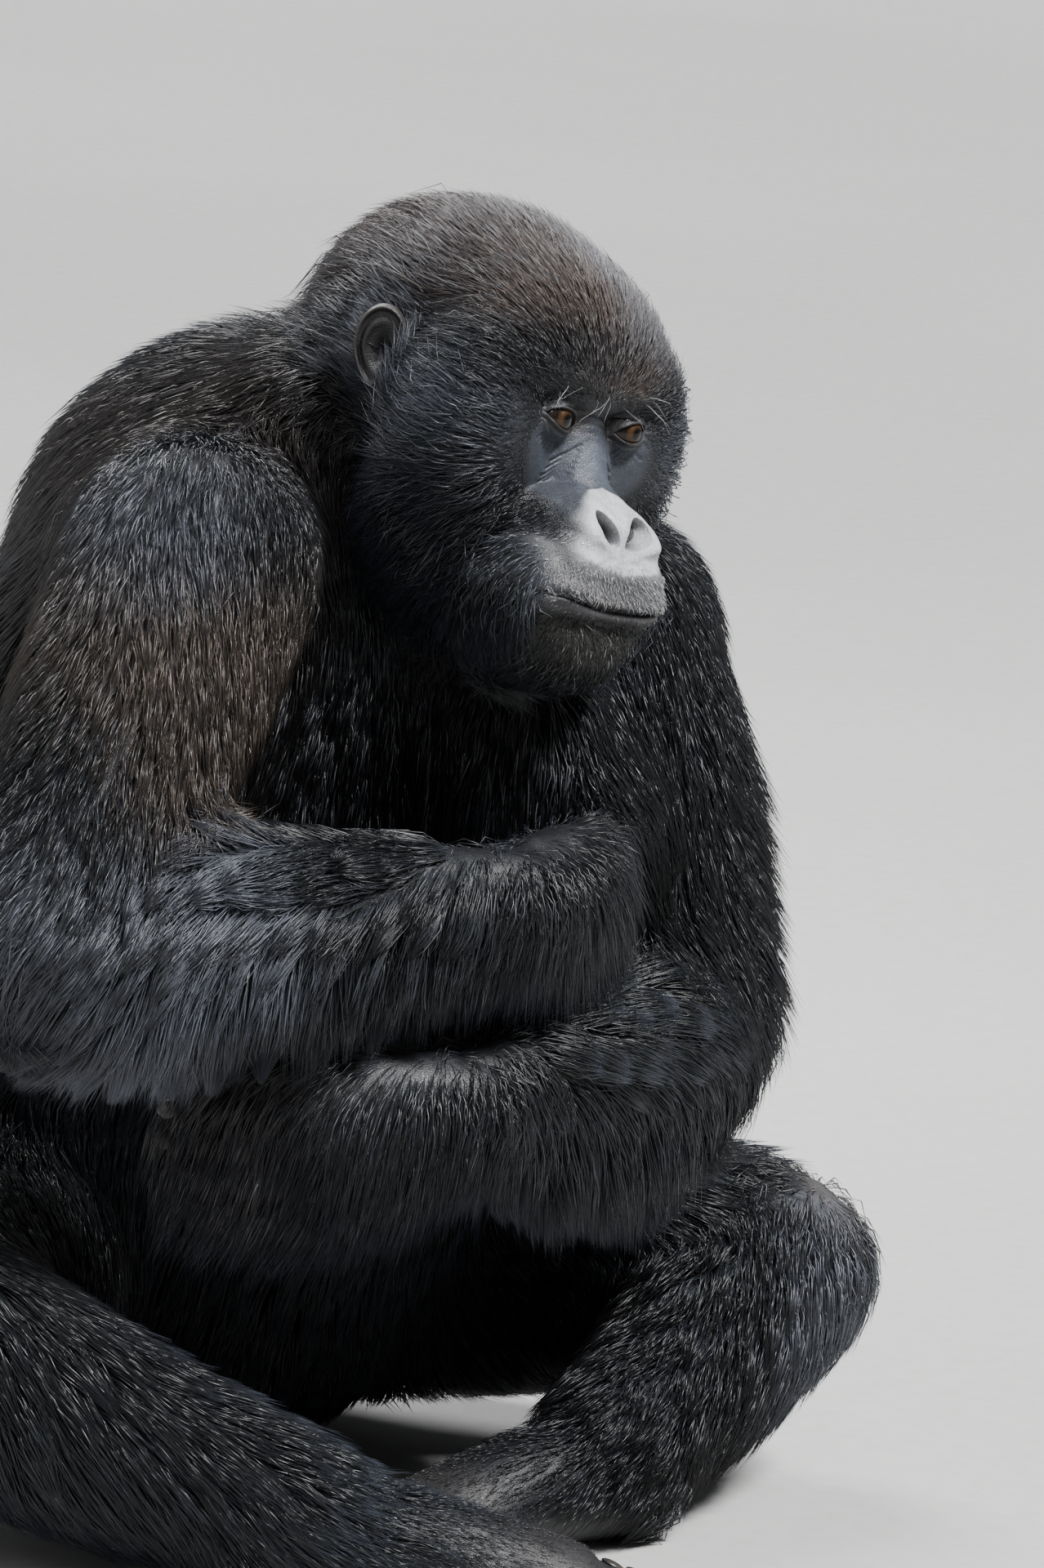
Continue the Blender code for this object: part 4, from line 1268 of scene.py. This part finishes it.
def poreGroup():  # height of pores, fine folds and flecks, from 0 to about 1
    group, given, result, place = nodeGroup(
        "pores", (("Pore", "Float", 620.0), ("Fold", "Float", 160.0)), (("Height", "Float"),))
    warp = noise(group, place, Scale=90.0, Detail=2.0)["Color"]
    bent = reckon(group, "MULTIPLY_ADD", warp, (0.006, 0.006, 0.006), place, kind="VectorMath")
    cells = addNode(
        group, "ShaderNodeTexVoronoi", {"Vector": bent, "Scale": given["Pore"]}, feature="DISTANCE_TO_EDGE")
    rounded = reckon(group, "MULTIPLY", cells.outputs["Distance"], 5.0, use_clamp=True)
    folds = noise(group, bent, Scale=given["Fold"], Detail=4.0, Roughness=0.6)["Fac"]
    feed(group, result, {"Height": reckon(group, "MULTIPLY_ADD", rounded, 0.35, folds)})
    return group


mottle, pores = mottleGroup(), poreGroup()


def placed(tree, group, **inputs):
    node = tree.nodes.new("ShaderNodeGroup")
    node.node_tree = group
    return feed(tree, node, inputs).outputs


def attribute(tree, name):
    return addNode(tree, "ShaderNodeAttribute", attribute_name=name).outputs


def uneven(tree, shader, color, amount, patch, fleck, roughness=None):  # mottled colour and roughness
    color = color or attribute(tree, "tone")["Color"]
    mottled = placed(tree, mottle, Color=color, Patch=patch, Fleck=fleck, Amount=amount)
    feed(tree, shader, {"Base Color": mottled["Color"]})
    if roughness:
        feed(tree, shader, {"Roughness": spread(tree, mottled["Mask"], 0.6, 1.4, *roughness)})


def furFinish():
    material, tree, shader = principled(
        "furFinish", 0.40, 0.55, Sheen_Weight=0.05, Sheen_Roughness=0.35, Sheen_Tint=(0.60, 0.72, 1.0, 1))
    uneven(tree, shader, None, 0.30, 26.0, 900.0, (0.32, 0.50))
    return material


def skinFinish():
    material, tree, shader = principled("skinFinish", 0.48, 0.42)
    uneven(tree, shader, None, 0.28, 60.0, 700.0, (0.42, 0.60))
    height = placed(tree, pores)["Height"]
    bump = addNode(tree, "ShaderNodeBump", {"Height": height, "Strength": 0.42, "Distance": 0.0008})
    feed(tree, shader, {"Normal": bump.outputs["Normal"]})
    return material


def nailFinish():
    material, tree, shader = principled("nailFinish", 0.32, 0.5)
    uneven(tree, shader, (0.030, 0.027, 0.025, 1), 0.35, 90.0, 1200.0, (0.24, 0.45))
    return material


gaze = {"turn": (0.07, -1.0, -0.03), "cornea": 0.0012, "corneaAngle": 30, "detail": (64, 48)}
iris = (  # rings of the eye from its middle to its back: where each starts, and its colour
    (0.0, 0.0015, 0.0015, 0.0015), (0.22, 0.0015, 0.0015, 0.0015), (0.25, 0.010, 0.0055, 0.003),
    (0.38, 0.040, 0.0205, 0.008), (0.50, 0.028, 0.0145, 0.006), (0.60, 0.005, 0.003, 0.003),
    (0.68, 0.008, 0.006, 0.005), (1.0, 0.016, 0.011, 0.009),
)


def makeEye(side, word):
    mesh = bmesh.new()
    radius = head["eyeRadius"]
    rings, around = [], []
    for vertex in addBall(mesh, Matrix(), gaze["detail"]):
        angle = vertex.co.angle(Vector((0, 0, 1)), 0)
        out = math.hypot(vertex.co.x, vertex.co.y) or 1
        rings.append(radius * angle * 1000)
        around.append((vertex.co.x / out, vertex.co.y / out, 0))
        bulge = gaze["cornea"] * max(1 - (angle / math.radians(gaze["corneaAngle"])) ** 2, 0) ** 1.2
        vertex.co = vertex.co * (radius + bulge)
    aim = Vector(gaze["turn"]).normalized().to_track_quat("Z", "Y").to_matrix()
    x, y, z = head["eye"]
    seat = headSeat @ Matrix.Translation((x * side, y, z)) @ aim.to_4x4()
    bmesh.ops.transform(mesh, matrix=seat, verts=mesh.verts)
    eye = newPiece("eyeball_" + word, mesh)
    data = eye.data
    for name, kind, key, values in (
            ("ring", "FLOAT", "value", rings), ("spokes", "FLOAT_VECTOR", "vector", around)):
        data.attributes.new(name, kind, "POINT").data.foreach_set(key, np.array(values, np.float32).ravel())
    reach = np.array(rings)[:, None] / (math.pi * radius * 1000)
    spots = 0.5 + 0.49 * reach * np.array(around)[:, :2]
    loops = readRows(data.loops, "vertex_index", 1, np.int32).ravel()
    bake = data.uv_layers.new(name="OFBake")
    bake.data.foreach_set("uv", spots[loops].astype(np.float32).ravel())
    data.shade_smooth()
    return eye


def eyeFinish():
    material, tree, shader = principled(
        "eyeFinish", 0.25, 0.15, Coat_Weight=0.5, Coat_Roughness=0.02, Coat_IOR=1.35)
    fibers = noise(tree, attribute(tree, "spokes")["Vector"], Scale=7.0, Detail=3.0, Roughness=0.7)["Fac"]
    wobble = reckon(tree, "MULTIPLY_ADD", fibers, 1.1, attribute(tree, "ring")["Fac"])
    ramp = addNode(tree, "ShaderNodeValToRGB", {"Fac": spread(tree, wobble, 0.5, 14.5, 0.0, 1.0)})
    stops = ramp.color_ramp.elements
    for index, (place, *color) in enumerate((iris[0], iris[-1], *iris[1:-1])):
        stop = stops[index] if index < 2 else stops.new(place)
        stop.position, stop.color = place, (*color, 1)
    streaks = addNode(tree, "ShaderNodeMix", data_type="RGBA", blend_type="MULTIPLY")
    feed(tree, streaks, {"Factor": 0.55, "A": ramp.outputs["Color"], "B": fibers})
    color = streaks.outputs["Result"]
    brighter = addNode(tree, "ShaderNodeVectorMath", {0: color, "Scale": 1.35}, operation="SCALE")
    feed(tree, shader, {"Base Color": brighter.outputs[0]})
    return material


nail = {"wide": 0.66, "long": 0.75, "thick": 0.0022, "ahead": 0.35, "lift": 0.80, "tip": 0.30, "toeSize": 1.1}


def makeNails():
    mesh = bmesh.new()
    for word in ("left", "right"):
        for rows, dorsal, size in (
                (handRows(pose[word]), Vector((0, -1, 0.35)), 1.0),
                (footRows(pose[word]), Vector((0, 0, 1)), nail["toeSize"])):
            for (before, _, _), (tip, wide, high) in (row[-2:] for row in rows[1:]):
                along = (tip - before).normalized()
                up = (dorsal - along * dorsal.dot(along)).normalized()
                across = along.cross(up)
                lean = (along - up * nail["tip"]).normalized()
                width, length = wide * nail["wide"] * size, wide * nail["long"] * size
                matrix = Matrix((across * width, lean * length, across.cross(lean) * nail["thick"]))
                matrix = matrix.transposed().to_4x4()
                matrix.translation = tip + along * wide * nail["ahead"] + up * high * nail["lift"]
                addBall(mesh, matrix)
    bmesh.ops.recalc_face_normals(mesh, faces=mesh.faces)
    nails = newPiece("nails", mesh)
    nails.data.shade_smooth()
    return nails


def finish(piece, material, slot, *nodes):
    piece.data.materials.clear()
    piece.data.materials.append(material)
    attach(piece, "root")
    if nodes:
        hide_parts(*nodes)


print("finishes")
fur = furFinish()
for piece in coats:
    finish(piece, fur, "coat")
skin.data.shade_smooth()
flesh = [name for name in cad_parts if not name.startswith("eye_")]
finish(skin, skinFinish(), "bare_skin", *flesh)
nails = makeNails()
unwrapped(nails)
finish(nails, nailFinish(), "bare_skin")
eyeMaterial = eyeFinish()
for side, word in ((1, "left"), (-1, "right")):
    finish(makeEye(side, word), eyeMaterial, "eye", "eye_" + word)


# floor, light and camera

view = {
    "azimuth": -40, "elevation": 10, "roll": 6, "look": (0.051, -0.1955, 0.453), "distance": 6.5,
    "lens": 252.3, "sensor": 36,
}
lights = {  # azimuth, elevation, distance, width, and power; the one of no width is a soft sun
    "key": (15, 58, 3.0, None, 10), "fill": (-95, 25, 3.2, 2.4, 26),
    "rim": (165, 48, 3.0, 1.8, 130), "catch": (-32, 44, 2.6, 0.5, 14),
}
studio = {
    "aim": (0, 0, 0.35), "sunAngle": 16, "sky": (0.85, 0.87, 0.90, 1), "skyLight": 0.20, "backdrop": 1.08,
    "floorRadius": 30, "floor": (0.36, 0.36, 0.355, 1),
}


def makeCamera():
    turn, roll = math.radians(view["azimuth"]), math.radians(view["roll"])
    right = Vector((math.cos(turn), math.sin(turn), 0))
    back = facingFrom(view["azimuth"], view["elevation"])
    up = back.cross(right)
    rolledRight = right * math.cos(roll) + up * math.sin(roll)
    rolledUp = up * math.cos(roll) - right * math.sin(roll)
    data = bpy.data.cameras.new("camera")
    data.lens = view["lens"]
    data.sensor_width = view["sensor"]
    camera = linked("camera", data)
    matrix = Matrix((rolledRight, rolledUp, back)).transposed().to_4x4()
    matrix.translation = at(*view["look"]) + back * view["distance"]
    camera.matrix_world = matrix
    bpy.context.scene.camera = camera


def addLight(name, azimuth, elevation, distance, size, power):
    back = facingFrom(azimuth, elevation)
    data = bpy.data.lights.new(name, "AREA" if size else "SUN")
    if size:
        data.shape = "DISK"
        data.size = size
    else:
        data.angle = math.radians(studio["sunAngle"])
    data.energy = power
    lamp = linked(name, data)
    lamp.location = Vector(studio["aim"]) + back * distance
    lamp.rotation_euler = back.to_track_quat("Z", "Y").to_euler()


def makeWorld():  # lights the scene softly, and is brighter where the camera sees it
    world = bpy.data.worlds.new("studio")
    world.use_nodes = True
    tree = world.node_tree
    seen = addNode(tree, "ShaderNodeLightPath").outputs["Is Camera Ray"]
    strength = spread(tree, seen, 0, 1, studio["skyLight"], studio["backdrop"])
    feed(tree, tree.nodes["Background"], {"Color": studio["sky"], "Strength": strength})
    bpy.context.scene.world = world


def makeFloor():
    mesh = bmesh.new()
    bmesh.ops.create_circle(mesh, segments=96, radius=studio["floorRadius"], cap_ends=True)
    floor = newPiece("floor", mesh)
    material, tree, shader = principled("floorFinish", 0.75, 0.25)
    uneven(tree, shader, studio["floor"], 0.05, 0.8, 60.0)
    floor.data.materials.append(material)
    return floor


makeCamera()
for name, settings in lights.items():
    addLight(name, *settings)
makeWorld()
makeFloor()
